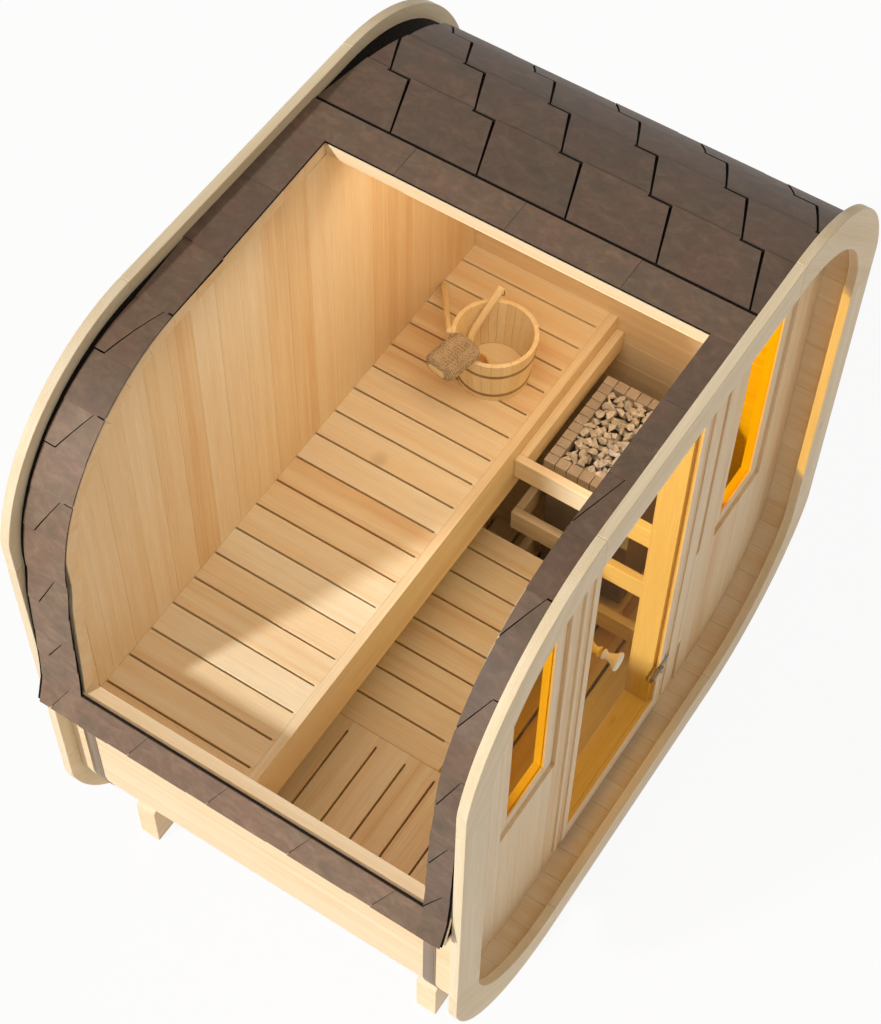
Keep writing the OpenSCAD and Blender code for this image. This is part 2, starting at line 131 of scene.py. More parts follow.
def noise(t, vector, scale, detail=3.0, rough=0.5, distort=0.0):
    n = node(t, "TexNoise")
    n.inputs["Scale"].default_value = scale
    n.inputs["Detail"].default_value = detail
    n.inputs["Roughness"].default_value = rough
    n.inputs["Distortion"].default_value = distort
    t.links.new(vector, n.inputs["Vector"])
    return n.outputs[0]


def ramp(t, factor, stops):
    n = node(t, "ValToRGB")
    e = n.color_ramp.elements
    while len(e) < len(stops):
        e.new(0.5)
    for el, (p, c) in zip(e, stops):
        el.position = p
        el.color = (*c, 1)
    t.links.new(factor, n.inputs[0])
    return n.outputs[0]


def mix(t, factor, a, b, mode="MIX"):
    n = node(t, "Mix", data_type="RGBA", blend_type=mode)
    for i, v in ((0, factor), (6, a), (7, b)):
        if isinstance(v, (int, float)):
            n.inputs[i].default_value = v
        elif isinstance(v, tuple):
            n.inputs[i].default_value = (*v, 1)
        else:
            t.links.new(v, n.inputs[i])
    return n.outputs[2]


def spread(t, value, low, high, to_low, to_high):
    n = node(t, "MapRange")
    t.links.new(value, n.inputs[0])
    for i, v in enumerate((low, high, to_low, to_high)):
        n.inputs[i + 1].default_value = v
    return n.outputs[0]


def bump(t, b, height, strength, distance):
    n = node(t, "Bump")
    n.inputs["Strength"].default_value = strength
    n.inputs["Distance"].default_value = distance
    t.links.new(height, n.inputs["Height"])
    t.links.new(n.outputs[0], b.inputs["Normal"])


def attribute(t, name):
    return node(t, "Attribute", attribute_name=name)


def own_tone(t):
    return attribute(t, "tone").outputs["Fac"]


def in_object(t):
    return node(t, "TexCoord").outputs["Object"]


def tinted_by(t, colour, value, low, high, to_low, to_high):
    """The colour times a value that is spread from one range to another."""
    return mix(t, 1.0, colour, spread(t, value, low, high, to_low, to_high), "MULTIPLY")


def rgb(r, g, b):
    """A colour written as it shows on a screen, 0 to 255, as linear values."""
    return tuple((c / 12.92 if c <= 0.04045 else ((c + 0.055) / 1.055) ** 2.4)
                 for c in (r / 255, g / 255, b / 255))


# ------ materials
def wood(name, pale, mid, deep, axis=None, figure=0.62, tone=0.5, rough=0.5, knots=0.22):
    """Softwood. Grain runs along the first number of the "grain" attribute, in metres,
    or along an axis of the object where a CAD node has no such attribute."""
    m, t, b = new_material(name)
    if axis is None:
        grain = attribute(t, "grain").outputs["Vector"]
        own = own_tone(t)
    else:
        n = node(t, "Mapping")
        quarter = math.pi / 2
        turn = {"x": (0, 0, 0), "y": (0, 0, quarter), "z": (0, quarter, 0)}[axis]
        n.inputs["Rotation"].default_value = turn
        t.links.new(in_object(t), n.inputs["Vector"])
        grain = n.outputs[0]
        own = noise(t, scaled(t, grain, (0.6, 5, 5)), 1, 0)
    # growth rings round a log axis that lies below each board
    parts = node(t, "SeparateXYZ")
    t.links.new(grain, parts.inputs[0])
    wander = noise(t, scaled(t, grain, (0.9, 5, 5)), 1, 2)
    v = add(t, parts.outputs[1], times(t, wander, 0.05))
    w = add(t, parts.outputs[2], LOG_AXIS)
    r = math_node(t, "SQRT", add(t, times(t, v, v), times(t, w, w)))
    r = add(t, r, times(t, parts.outputs[0], 0.006))
    ring = math_node(t, "POWER", math_node(t, "FRACT", times(t, r, RINGS_A_METRE)), 2.2)
    streak = noise(t, scaled(t, grain, (0.55, 30, 30)), 1, 3, 0.55, 0.1)
    fibre = noise(t, scaled(t, grain, (8, 420, 420)), 1, 2, 0.6)
    cloud = noise(t, scaled(t, grain, (2.2, 7, 7)), 1, 2)
    amount = times(t, ring, 0.16 * figure)
    for value, share in ((streak, 1.5 * figure), (own, tone), (cloud, 0.5 * figure)):
        amount = add(t, amount, times(t, math_node(t, "SUBTRACT", value, 0.5), share))
    colour = ramp(t, add(t, amount, 0.36, clamp=True), [(0.0, pale), (0.5, mid), (1.0, deep)])
    colour = tinted_by(t, colour, fibre, 0.3, 0.7, 0.93, 1.05)
    # a few small knots, longer along the grain
    cell = node(t, "TexVoronoi")
    cell.inputs["Scale"].default_value = 1
    t.links.new(scaled(t, grain, (1.7, 4.5, 1.5)), cell.inputs["Vector"])
    near = spread(t, cell.outputs["Distance"], 0.02, 0.055, knots, 0.0)
    colour = mix(t, near, colour, tuple(c * 0.32 for c in deep))
    t.links.new(colour, b.inputs["Base Color"])
    t.links.new(spread(t, streak, 0, 1, rough - 0.08, rough + 0.1), b.inputs["Roughness"])
    set_values(b, Specular_IOR_Level=0.35)
    bump(t, b, add(t, fibre, times(t, ring, 0.4)), 0.25, 0.0006)
    M[name] = m


M = {}
LOG_AXIS, RINGS_A_METRE = 0.045, 150
PALE, MID, DEEP = rgb(242, 224, 194), rgb(235, 208, 167), rgb(218, 170, 116)
wood("beam_wood", PALE, MID, DEEP, "x")
wood("ring_wood", rgb(240, 225, 195), rgb(230, 209, 172), rgb(210, 176, 130))
for name in ("stave_wood", "wall_wood", "trim_wood"):
    wood(name, PALE, MID, DEEP)
wood("bench_wood", rgb(246, 233, 205), rgb(240, 217, 178), rgb(224, 182, 130), figure=0.8)
wood("bucket_wood", rgb(248, 232, 196), rgb(243, 219, 172), rgb(228, 190, 138), tone=0.3)
wood("hoop", rgb(176, 146, 108), rgb(158, 128, 92), rgb(130, 102, 72), "z", 0.8, 0.2, 0.6, 0)
wood("bucket_wood_turned", rgb(236, 200, 145), rgb(222, 178, 118), rgb(196, 142, 84), "z", 0.8, 0.2)
wood("stick_wood", rgb(246, 226, 180), rgb(238, 212, 160), rgb(222, 186, 130))
wood("knob_wood", rgb(252, 243, 218), rgb(247, 230, 192), rgb(236, 208, 162), "y", 0.8, 0.2)


SHEEN = 0.08     # how much of the glass's mirror image is kept
GLASS_IOR = 1.16


def tinted(name, colour):
    """Tinted glass that lets lamps through: the tint is that of one face, and a pane has two."""
    m, t, out = bare_material(name)
    clear = node(t, "BsdfTransparent")
    clear.inputs[0].default_value = (*colour, 1)
    gloss = node(t, "BsdfGlossy")
    smudge = noise(t, in_object(t), 9, 3)
    t.links.new(spread(t, smudge, 0.3, 0.7, 0.03, 0.09), gloss.inputs["Roughness"])
    fr = node(t, "Fresnel")
    fr.inputs[0].default_value = GLASS_IOR
    mx = node(t, "MixShader")
    inner = node(t, "NewGeometry").outputs["Backfacing"]
    outer = math_node(t, "MULTIPLY_ADD", inner, -SHEEN, SHEEN)
    for value, socket in ((times(t, fr.outputs[0], outer), mx.inputs[0]), (clear.outputs[0], mx.inputs[1]),
                          (gloss.outputs[0], mx.inputs[2]), (mx.outputs[0], out.inputs[0])):
        t.links.new(value, socket)
    M[name] = m


tinted("amber_glass", (0.97, 0.75, 0.06))
tinted("bronze_glass", (0.98, 0.85, 0.50))


def grit(name):
    """Mineral grit on felt, clouded along the tabs."""
    m, t, b = new_material(name)
    flow = attribute(t, "grain").outputs["Vector"]
    cloud = noise(t, scaled(t, flow, (30, 20, 20)), 1, 6, 0.68, 0.5)
    patch = noise(t, scaled(t, flow, (8, 7, 7)), 1, 3, 0.55, 0.6)
    grain = noise(t, flow, 900, 2, 0.6)
    colour = ramp(t, cloud, [(0.3, rgb(70, 55, 42)), (0.5, rgb(90, 71, 56)), (0.7, rgb(112, 91, 73))])
    warm = ramp(t, patch, [(0.38, rgb(86, 73, 56)), (0.62, rgb(102, 75, 60))])
    colour = mix(t, 0.4, colour, warm)
    # a tone above 1 is painted light: tabs on the sunlit left side come out up to 2.6 times paler
    colour = tinted_by(t, colour, own_tone(t), 0, 8, 0.93, 2.6)
    colour = tinted_by(t, colour, grain, 0.3, 0.7, 0.88, 1.12)
    t.links.new(colour, b.inputs["Base Color"])
    set_values(b, Roughness=0.56, Specular_IOR_Level=0.45)
    bump(t, b, add(t, grain, cloud), 0.4, 0.0012)
    M[name] = m


def dark_edge(name):
    """Black bitumen where felt is cut, a little dusty; also used for the black sheet and strips that are
    painted shade.
    """
    m, t, b = new_material(name)
    dust = noise(t, in_object(t), 160, 3, 0.6)
    t.links.new(ramp(t, dust, [(0.4, rgb(20, 17, 15)), (0.75, rgb(48, 42, 38))]), b.inputs["Base Color"])
    set_values(b, Roughness=0.95, Specular_IOR_Level=0.1)
    M[name] = m


grit("bitumen_shingle")
dark_edge("bitumen_edge_and_painted_shade")


def glazed(name, base, dark):
    """Ceramic or enamel, clouded, slightly glossy."""
    m, t, b = new_material(name)
    where = in_object(t)
    cloud = noise(t, where, 22, 4, 0.6)
    speck = noise(t, where, 420, 2, 0.6)
    colour = ramp(t, cloud, [(0.3, dark), (0.7, base)])
    colour = tinted_by(t, colour, own_tone(t), 0, 1, 0.9, 1.1)
    colour = tinted_by(t, colour, speck, 0.3, 0.7, 0.92, 1.06)
    t.links.new(colour, b.inputs["Base Color"])
    t.links.new(spread(t, cloud, 0, 1, 0.42, 0.62), b.inputs["Roughness"])
    bump(t, b, speck, 0.15, 0.0006)
    M[name] = m


def rock(name):
    """Pale broken stone."""
    m, t, b = new_material(name)
    cloud = noise(t, in_object(t), 60, 5, 0.65)
    stops = [(0.3, rgb(188, 176, 162)), (0.5, rgb(220, 212, 200)), (0.72, rgb(240, 234, 224))]
    colour = ramp(t, cloud, stops)
    colour = tinted_by(t, colour, own_tone(t), 0, 1, 0.8, 1.12)
    t.links.new(colour, b.inputs["Base Color"])
    set_values(b, Roughness=0.92)
    bump(t, b, cloud, 0.5, 0.002)
    M[name] = m


def knit(name):
    """Stitches of plant fibre."""
    m, t, b = new_material(name)
    where = in_object(t)
    cell = node(t, "TexVoronoi")
    set_values(cell, Scale=250, Randomness=0.35)
    t.links.new(where, cell.inputs["Vector"])
    yarn = math_node(t, "SUBTRACT", 1, cell.outputs["Distance"])
    cloud = noise(t, where, 30, 3)
    stops = [(0.35, rgb(140, 114, 84)), (0.6, rgb(192, 168, 134)), (0.85, rgb(222, 204, 174))]
    # stitches darken towards their edges, where the bump is low: painted shade in the hollows between
    # stitches
    colour = ramp(t, yarn, stops)
    t.links.new(tinted_by(t, colour, cloud, 0.3, 0.7, 0.86, 1.1), b.inputs["Base Color"])
    set_values(b, Roughness=0.95, Sheen_Weight=0.2)
    bump(t, b, yarn, 0.8, 0.0025)
    M[name] = m


def metal(name, colour, rough, scratch=0.06):
    """Steel with fine brush marks."""
    m, t, b = new_material(name)
    brush = noise(t, scaled(t, in_object(t), (60, 60, 900)), 1, 3, 0.7)
    tint = ramp(t, brush, [(0.3, tuple(c * 0.86 for c in colour)), (0.7, colour)])
    t.links.new(tint, b.inputs["Base Color"])
    set_values(b, Metallic=1.0)
    t.links.new(spread(t, brush, 0, 1, rough - scratch, rough + scratch), b.inputs["Roughness"])
    M[name] = m


glazed("heater_enamel", rgb(196, 184, 170), rgb(176, 164, 150))
glazed("heater_case", rgb(150, 136, 120), rgb(128, 115, 102))
glazed("leather", rgb(120, 84, 52), rgb(88, 60, 36))
rock("stone")
knit("sisal")
metal("hinge_steel", rgb(150, 144, 138), 0.3)
# the bands' warm taupe tint is partly painted reflection of the wood round them
metal("strap_steel", rgb(168, 148, 128), 0.5)
# the CAD nodes that show as they are
for n, slot in (("hinge_frame_plates", "hinge_steel"), ("door_clamps", "hinge_steel"),
                ("window_panes", "amber_glass"), ("door_glass", "bronze_glass")):
    nodes[n].data.materials.clear()
    nodes[n].data.materials.append(M[slot])


# ------ building meshes
class Stock:
    """Collects the boards of one piece; each has its own grain direction, offset and tone."""

    def __init__(self):
        self.v, self.f, self.grain, self.tone = [], [], [], []

    def add(self, points, faces, along, tone=None):
        first = len(self.v)
        u = Vector(along).normalized()
        side = Vector((0, 0, 1)) if abs(u.z) < 0.7 else Vector((1, 0, 0))
        if abs(u.z) < 0.7 and abs(u.x) > 0.7:
            side = Vector((0, 1, 0))
        v = (side - u * side.dot(u)).normalized()
        w = u.cross(v)
        world = [Vector(P(*p)) for p in points]
        centre = sum(world, Vector()) / len(world)
        shift = (rng.uniform(-6, 6), rng.uniform(-0.05, 0.05), rng.uniform(0, 0.03))
        own = rng.random() if tone is None else tone + rng.uniform(-0.12, 0.12)
        for p in world:
            d = p - centre
            self.v.append(p[:])
            self.grain.append((d.dot(u) + shift[0], d.dot(v) + shift[1], d.dot(w) + shift[2]))
            self.tone.append(own)
        self.f += [[first + i for i in f] for f in faces]

    def board(self, x0, x1, y0, y1, z0, z1, along=None, tone=None):
        if along is None:
            size = (x1 - x0, y1 - y0, z1 - z0)
            along = [float(s == max(size)) for s in size]
        pts = [(x, y, z) for x in (x0, x1) for y in (y0, y1) for z in (z0, z1)]
        self.add(pts, [(0, 1, 3, 2), (4, 6, 7, 5), (0, 4, 5, 1), (2, 3, 7, 6), (0, 2, 6, 4), (1, 5, 7, 3)],
                 along, tone)

    def prism(self, outline, axis, a0, a1, along=None, tone=None, top=None):
        """A polygon pushed along an axis. "top" is the polygon at the far end if it differs."""
        n = len(outline)
        far_end = top or outline
        put = {"x": lambda p, a: (a, p[0], p[1]), "y": lambda p, a: (p[0], a, p[1]),
               "z": lambda p, a: (p[0], p[1], a)}[axis]
        pts = [put(p, a0) for p in outline] + [put(p, a1) for p in far_end]
        faces = [list(range(n))[::-1], list(range(n, 2 * n))]
        faces += [(i, (i + 1) % n, n + (i + 1) % n, n + i) for i in range(n)]
        self.add(pts, faces, along or {"x": (1, 0, 0), "y": (0, 1, 0), "z": (0, 0, 1)}[axis], tone)

    def make(self, name, material, stands_for=(), bevel=0.0, slot=None):
        mesh = new_mesh(name, self.v, self.f, [material], self.grain, self.tone)
        place_piece(mesh, name, "cabin", stands_for, bevel)


def new_mesh(name, verts, faces, materials, grain=None, tone=None, weld=0.0, kinds=None):
    """A mesh with its faces turned outward. Points closer than "weld" become one."""
    mesh = bpy.data.meshes.new(name)
    mesh.from_pydata(verts, [], faces)
    for key, kind, field, values in (("grain", "FLOAT_VECTOR", "vector", grain),
                                     ("tone", "FLOAT", "value", tone)):
        if values:
            a = mesh.attributes.new(key, kind, "POINT")
            a.data.foreach_set(field, np.array(values, np.float32).ravel())
    for material in materials:
        mesh.materials.append(M[material])
    if kinds:
        mesh.polygons.foreach_set("material_index", kinds)
    bm = bmesh.new()
    bm.from_mesh(mesh)
    if weld:
        bmesh.ops.remove_doubles(bm, verts=bm.verts, dist=weld)
    bmesh.ops.recalc_face_normals(bm, faces=bm.faces)
    bm.to_mesh(mesh)
    bm.free()
    return mesh


def link(o):
    bpy.context.scene.collection.objects.link(o)
    return o


def place_piece(mesh, name, body, stands_for, bevel, smooth=True):
    """Adds a piece, its edges softened by "bevel" millimetres."""
    o = link(bpy.data.objects.new(name, mesh))
    if bevel:
        b = o.modifiers.new("edges", "BEVEL")
        b.width = bevel / 1000
        b.segments = 2
        b.limit_method = "ANGLE"
        b.angle_limit = math.radians(35)
        b.harden_normals = True
    if smooth:
        mesh.shade_smooth()
    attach(o, body)
    if stands_for:
        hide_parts(*([stands_for] if isinstance(stands_for, str) else stands_for))


# ------ cabin outline
def outline_z(x, inset):
    """Height of the outline's top edge above the ground at that x."""
    r = CORNER_R - inset
    over = max(abs(x) - CORNER_X, 0)
    return TOP_Z + math.sqrt(max(r * r - over * over, 0))


def arc_point(angle, inset, side=1, low=False):
    """A point of a corner arc, the angle in degrees from straight up (or down)."""
    r = CORNER_R - inset
    a = math.radians(angle)
    x = min(CORNER_X + r * math.sin(a), HALF_W - inset)
    z = TOP_Z + r * math.cos(a)
    return (side * x, 2 * MID_Z - z if low else z)


def arc_band(a0, a1, outer, inner, side=1, low=False, steps=3):
    """The polygon between two insets of a corner arc."""
    angles = [a0 + (a1 - a0) * i / steps for i in range(steps + 1)]
    return ([arc_point(a, outer, side, low) for a in angles]
            + [arc_point(a, inner, side, low) for a in reversed(angles)])


# ------ end rings
RING_W, RING_T = 115, 29
for y0, end in ((0, "front"), (DEPTH - RING_T, "back")):
    straight, curved = Stock(), Stock()
    for z0, z1 in ((CROWN - RING_W, CROWN), (KEEL, KEEL + RING_W)):
        straight.board(-CORNER_X, CORNER_X, y0, y0 + RING_T, z0, z1, tone=0.35)
    for x0, x1 in ((-HALF_W, -HALF_W + RING_W), (HALF_W - RING_W, HALF_W)):
        straight.board(x0, x1, y0, y0 + RING_T, LOW_Z, TOP_Z, tone=0.35)
    for side in (-1, 1):
        for low in (False, True):
            slant = (side, 0, 1 if low else -1)
            curved.prism(arc_band(0, 90, 0, RING_W, side, low, 36), "y", y0, y0 + RING_T, slant, 0.4)
    straight.make(end + "_ring_straight", "ring_wood", stands_for=end + "_ring_boards", bevel=2.5)
    curved.make(end + "_ring_curved", "ring_wood", stands_for=end + "_ring_corners", bevel=2.5)

# ------ shell staves
OUT, IN = 45, 85      # the staves' faces, measured inward from the outline
ARC_STAVES = 8
STEP = 90 / ARC_STAVES
FOOT_Z, SKIRT_OUT = 1130, 75
# the skirt's shape: share of its width against share of the way down
SKIRT_SHAPE = [(0, 0), (0.24, 0.19), (0.37, 0.45), (0.48, 0.71), (0.59, 0.85), (1, 1)]


def split(a, b, n):
    """The n equal spans between two values."""
    return [(a + (b - a) * i / n, a + (b - a) * (i + 1) / n) for i in range(n)]


def flare(z):
    """How far the left side's skirt stands out at a height."""
    down = min(max((TOP_Z - z) / (TOP_Z - FOOT_Z), 0), 1)
    for (f0, g0), (f1, g1) in zip(SKIRT_SHAPE, SKIRT_SHAPE[1:]):
        if down <= g1:
            return SKIRT_OUT * (f0 + (f1 - f0) * (down - g0) / (g1 - g0))
    return SKIRT_OUT


def staves(name, stands_for, y0, y1, arcs=(), tops=(), sides=(), cut=None):
    """arcs: (side, low); tops: (x0, x1, low); sides: (side, z0, z1)."""
    s = Stock()

    def stave(polygon):
        s.prism(polygon, "y", y0, y1, tone=rng.uniform(0.2, 0.6))

    for side, low in arcs:
        for i in range(ARC_STAVES):
            stave(arc_band(i * STEP, (i + 1) * STEP, OUT, IN, side, low))
    for x0, x1, low in tops:
        z0, z1 = (KEEL + OUT, KEEL + IN) if low else (CROWN - IN, CROWN - OUT)
        for a, b in split(x0, x1, round((x1 - x0) / TOP_STAVE)):
            stave([(a, z0), (b, z0), (b, z1), (a, z1)])
    for side, z0, z1 in sides:
        for a, b in split(z0, z1, round((z1 - z0) / SIDE_STAVE)):
            (xa, xb), t = [HALF_W - OUT + (flare(z) if z0 >= CUT_Z else 0) for z in (a, b)], IN - OUT
            stave([(side * xa, a), (side * xb, b), (side * (xb - t), b), (side * (xa - t), a)])
    if cut:
        for i, (x, y, z) in enumerate(s.v):
            if y < 0.6:     # the front end of the back hoop's staves, in metres
                s.v[i] = (x, y + cut(x), z)
    s.make(name, "stave_wood", stands_for, 2.2)


Y0, Y1 = RING_T, DEPTH - RING_T
TOP_STAVE, SIDE_STAVE = 96, 100
staves("bottom_staves", "shell_bottom", Y0, Y1, tops=[(-CORNER_X, CORNER_X, True)])
staves("lower_corner_staves", "shell_lower_corners", Y0, Y1, arcs=[(-1, True), (1, True)])
staves("right_wall_staves", "shell_right_wall", Y0, Y1, sides=[(1, LOW_Z, TOP_Z)])
staves("right_corner_staves", "shell_right_corner", Y0, Y1, arcs=[(1, False)])
staves("roof_staves", "shell_roof", Y0, Y1, tops=[(CUT_X, CORNER_X, False)])
staves("left_wall_staves", "shell_left_wall", Y0, Y1, sides=[(-1, LOW_Z, CUT_Z)])
HOOP = dict(arcs=[(-1, False)], tops=[(-CORNER_X, CUT_X, False)], sides=[(-1, CUT_Z, TOP_Z)])
staves("front_hoop_staves", "shell_front_hoop", Y0, CUT_FRONT, **HOOP)
staves("back_hoop_staves", "shell_back_hoop", BACK_CUT, Y1, cut=lambda x: TURN * x, **HOOP)

# ------ end walls
WALL_PITCH = 98
WALL_INSET = 85.5
WALL_END = 944
BACK_IN, BACK_OUT = 1220, 1242


def wall_boards(s, x_start, x_end, y0, y1, holes=(), foot=None, tone=None):
    """Upright boards between two x values, cut to the outline and round the holes (x0, x1, z0, z1)."""
    marks = {x_start, x_end}
    first = math.ceil(x_start / WALL_PITCH)
    marks |= {i * WALL_PITCH for i in range(first, first + 40) if x_start < i * WALL_PITCH < x_end}
    marks = sorted(marks)
    for a, b in zip(marks, marks[1:]):
        if b - a < 1:
            continue
        own = rng.random()
        cuts = sorted({a, b} | {h[k] for h in holes for k in (0, 1) if a < h[k] < b})
        for c, d in zip(cuts, cuts[1:]):
            xs = [c + (d - c) * i / 4 for i in range(5)]
            tops = [outline_z(x, WALL_INSET) for x in xs]
            spans = [(None, None)]
            for h in holes:
                if h[0] - 0.1 <= c and d <= h[1] + 0.1:
                    spans = [(None, h[2]), (h[3], None)]
            for lo_z, hi_z in spans:
                low = [(x, foot or 2 * MID_Z - z) if lo_z is None else (x, lo_z) for x, z in zip(xs, tops)]
                high = [(x, z) if hi_z is None else (x, hi_z) for x, z in zip(xs, tops)]
                s.prism(low + high[::-1], "y", y0, y1, (0, 0, 1), own if tone is None else tone)


WALL_IN, WALL_OUT, BOARD_BACK = 104, 126, 118
LEFT_X, RIGHT_X, WIN_W, WIN_Z, WIN_H = -665, 515, 284, 933, 997
HOLES = [(x, x + WIN_W, WIN_Z, WIN_Z + WIN_H) for x in (LEFT_X, RIGHT_X)]
FRAME_HALF = 290
GROOVE = (402, 422)     # the short sunk strip right of the door
s = Stock()
wall_boards(s, -WALL_END, -FRAME_HALF, WALL_IN, BOARD_BACK, HOLES)
# the left end of each end wall reaches out to the flared staves
FLARE_EDGE = [(-WALL_END - 0.2, TOP_Z + 40), (-WALL_END - 0.2, FOOT_Z)]
FLARE_EDGE += [(-HALF_W + OUT - flare(z) + 38, z) for z in np.linspace(FOOT_Z, TOP_Z, 9).tolist()]
s.prism(FLARE_EDGE, "y", WALL_IN + 0.4, BOARD_BACK)
s.make("front_left_boards", "wall_wood", stands_for="front_wall_left", bevel=2.2)
s = Stock()
wall_boards(s, FRAME_HALF, GROOVE[0], WALL_IN, BOARD_BACK, HOLES)
# the sunk strip's boards get a darker tone: painted shade in the groove
wall_boards(s, *GROOVE, WALL_IN + 9, BOARD_BACK, tone=1.1)
for z0, z1 in ((465, 980), (1930, 2080)):
    s.board(*GROOVE, WALL_IN, WALL_IN + 9.5, z0, z1)
wall_boards(s, GROOVE[1], WALL_END, WALL_IN, BOARD_BACK, HOLES)
s.make("front_right_boards", "wall_wood", stands_for="front_wall_right", bevel=2.2)
s = Stock()
wall_boards(s, -FRAME_HALF, FRAME_HALF, WALL_IN, BOARD_BACK, foot=2028)
s.make("boards_over_door", "wall_wood", stands_for="front_wall_over_door", bevel=2.2)
s = Stock()
wall_boards(s, -WALL_END, WALL_END, BACK_IN, BACK_OUT)
s.prism(FLARE_EDGE, "y", BACK_IN + 0.4, BACK_OUT)
s.make("back_boards", "wall_wood", stands_for="back_wall", bevel=2.2)

# ------ door frame
DOOR_HALF, DOOR_TOP, SILL_Z, FLOOR_Z, LINING = 258, 1996, 330, 270, 192
HEAD_BACK, STEP_BACK_Z = 160, 1935
LIP, FACE_Y, FRAME_BACK, STOP_Y = 14, 96, 104.5, 112
# the casing round the door: two flat strips with a sunk one between, from the opening's edge; the sunk
# strip's darker tone is painted shade
CASING = ((0, 28, FACE_Y, 0.3), (27, 61, FACE_Y + 5, 1.0), (60, 72, FACE_Y, 0.3))
for side, name in ((-1, "left"), (1, "right")):
    s = Stock()

    def upright(a, b, y0, y1, top, tone=0.3, foot=FLOOR_Z):
        x0, x1 = sorted((side * a, side * b))
        s.board(x0, x1, y0, y1, foot, top, tone=tone)

    for a, b, y0, tone in CASING:
        upright(DOOR_HALF + a, DOOR_HALF + b, y0, FRAME_BACK, DOOR_TOP + 72, tone)
    # the lining steps back at its top, where the head is set into it
    edge = [(WALL_IN, FLOOR_Z), (LINING, FLOOR_Z), (LINING, STEP_BACK_Z), (HEAD_BACK, STEP_BACK_Z),
            (HEAD_BACK, DOOR_TOP + 32), (WALL_IN, DOOR_TOP + 32)]
    x0, x1 = sorted((side * DOOR_HALF, side * (DOOR_HALF + 32)))
    s.prism(edge, "x", x0, x1, (0, 0, 1), 0.3)
    upright(DOOR_HALF - LIP, DOOR_HALF, STOP_Y, LINING, STEP_BACK_Z)
    upright(DOOR_HALF - LIP, DOOR_HALF, STOP_Y, HEAD_BACK, DOOR_TOP - LIP, foot=STEP_BACK_Z)
    s.make("jamb_boards_" + name, "trim_wood", stands_for="door_jamb_" + name, bevel=1.6)
s = Stock()
for a, b, y0, tone in CASING:
    s.board(-DOOR_HALF, DOOR_HALF, y0, FRAME_BACK, DOOR_TOP + a, DOOR_TOP + b, tone=tone)
s.board(-DOOR_HALF, DOOR_HALF, WALL_IN, HEAD_BACK, DOOR_TOP, DOOR_TOP + 32, tone=0.3)
s.board(LIP - DOOR_HALF, DOOR_HALF - LIP, STOP_Y, HEAD_BACK, DOOR_TOP - LIP, DOOR_TOP, tone=0.3)
s.make("head_boards", "trim_wood", stands_for="door_head", bevel=1.6)
s = Stock()
s.board(-DOOR_HALF, DOOR_HALF, FACE_Y, STOP_Y, FLOOR_Z, SILL_Z, tone=0.3)
s.board(LIP - DOOR_HALF, DOOR_HALF - LIP, STOP_Y + 0.3, LINING, FLOOR_Z, SILL_Z, tone=0.4)
s.make("sill_boards", "trim_wood", stands_for="door_sill", bevel=1.6)

# ------ windows
CASE, CASE_Y = 48, (115, 148)
s = Stock()
for x in (LEFT_X, RIGHT_X):
    top = WIN_Z + WIN_H
    for a, b in ((x, x + CASE), (x + WIN_W - CASE, x + WIN_W)):
        s.board(a, b, *CASE_Y, WIN_Z, top, tone=0.3)
    for c, d in ((WIN_Z, WIN_Z + CASE), (top - CASE, top)):
        s.board(x + CASE, x + WIN_W - CASE, *CASE_Y, c, d, tone=0.3)
s.make("window_frames", "trim_wood", stands_for="window_casings", bevel=2.5)

# ------ benches and floor
BENCH_Z, BENCH_Y, SLAT_T, GAP, PITCH = 1110, 700, 28, 6.5, 99.5
RAIL = 40               # height of the rails below the slats


def side_limit(z):
    """How far out the inside of the shell is at that height."""
    drop = max(LOW_Z - z, z - TOP_Z, 0)
    r = CORNER_R - IN
    return min(HALF_W - IN, CORNER_X + math.sqrt(max(r * r - drop * drop, 0)))


def slat(s, across, along, ends, top, tone=None, axis="y"):
    """A slat whose gap stops at a border. "along" holds its far end, the border's start and its near end."""
    (a, b), (far_end, border, near) = across, along
    wide_a, wide_b = max(a - GAP / 2, ends[0]), min(b + GAP / 2, ends[1])
    outline = [(a, far_end), (a, border), (wide_a, border), (wide_a, near), (wide_b, near), (wide_b, border),
               (b, border), (b, far_end)]
    if axis == "x":
        outline = [(v, u) for u, v in outline]
    s.prism(outline, "z", top - SLAT_T, top, (0, 1, 0) if axis == "y" else (1, 0, 0), tone)


s = Stock()
edge = side_limit(BENCH_Z)
marks = [edge - 73 - i * PITCH for i in range(19)]
rights = [edge] + [m - GAP / 2 for m in marks]
for x1, x0 in zip(rights, [m + GAP / 2 for m in marks] + [-edge]):
    x0 = max(x0, -edge)
    if x1 - x0 > 5:
        slat(s, (x0, x1), (BACK_IN, BENCH_Y + 38, BENCH_Y + SLAT_T), (-edge, edge), BENCH_Z)
for y in (BENCH_Y + 45, BACK_IN - 85):
    s.board(-edge, edge, y, y + 45, BENCH_Z - SLAT_T - RAIL, BENCH_Z - SLAT_T)
s.make("upper_bench_slats", "bench_wood", stands_for="upper_bench", bevel=1.2)

s = Stock()
s.board(-edge, edge, BENCH_Y, BENCH_Y + SLAT_T, 975, BENCH_Z, tone=0.35)
s.board(-edge, edge, BENCH_Y + 3, BENCH_Y + SLAT_T, 896, 971, tone=0.6)
for x in (-700, 0, 660):
    s.board(x, x + 40, BENCH_Y + SLAT_T, BENCH_Y + SLAT_T + 17, 896, BENCH_Z - SLAT_T - RAIL)
s.make("bench_front_boards", "bench_wood", stands_for="bench_fascia", bevel=1.4)

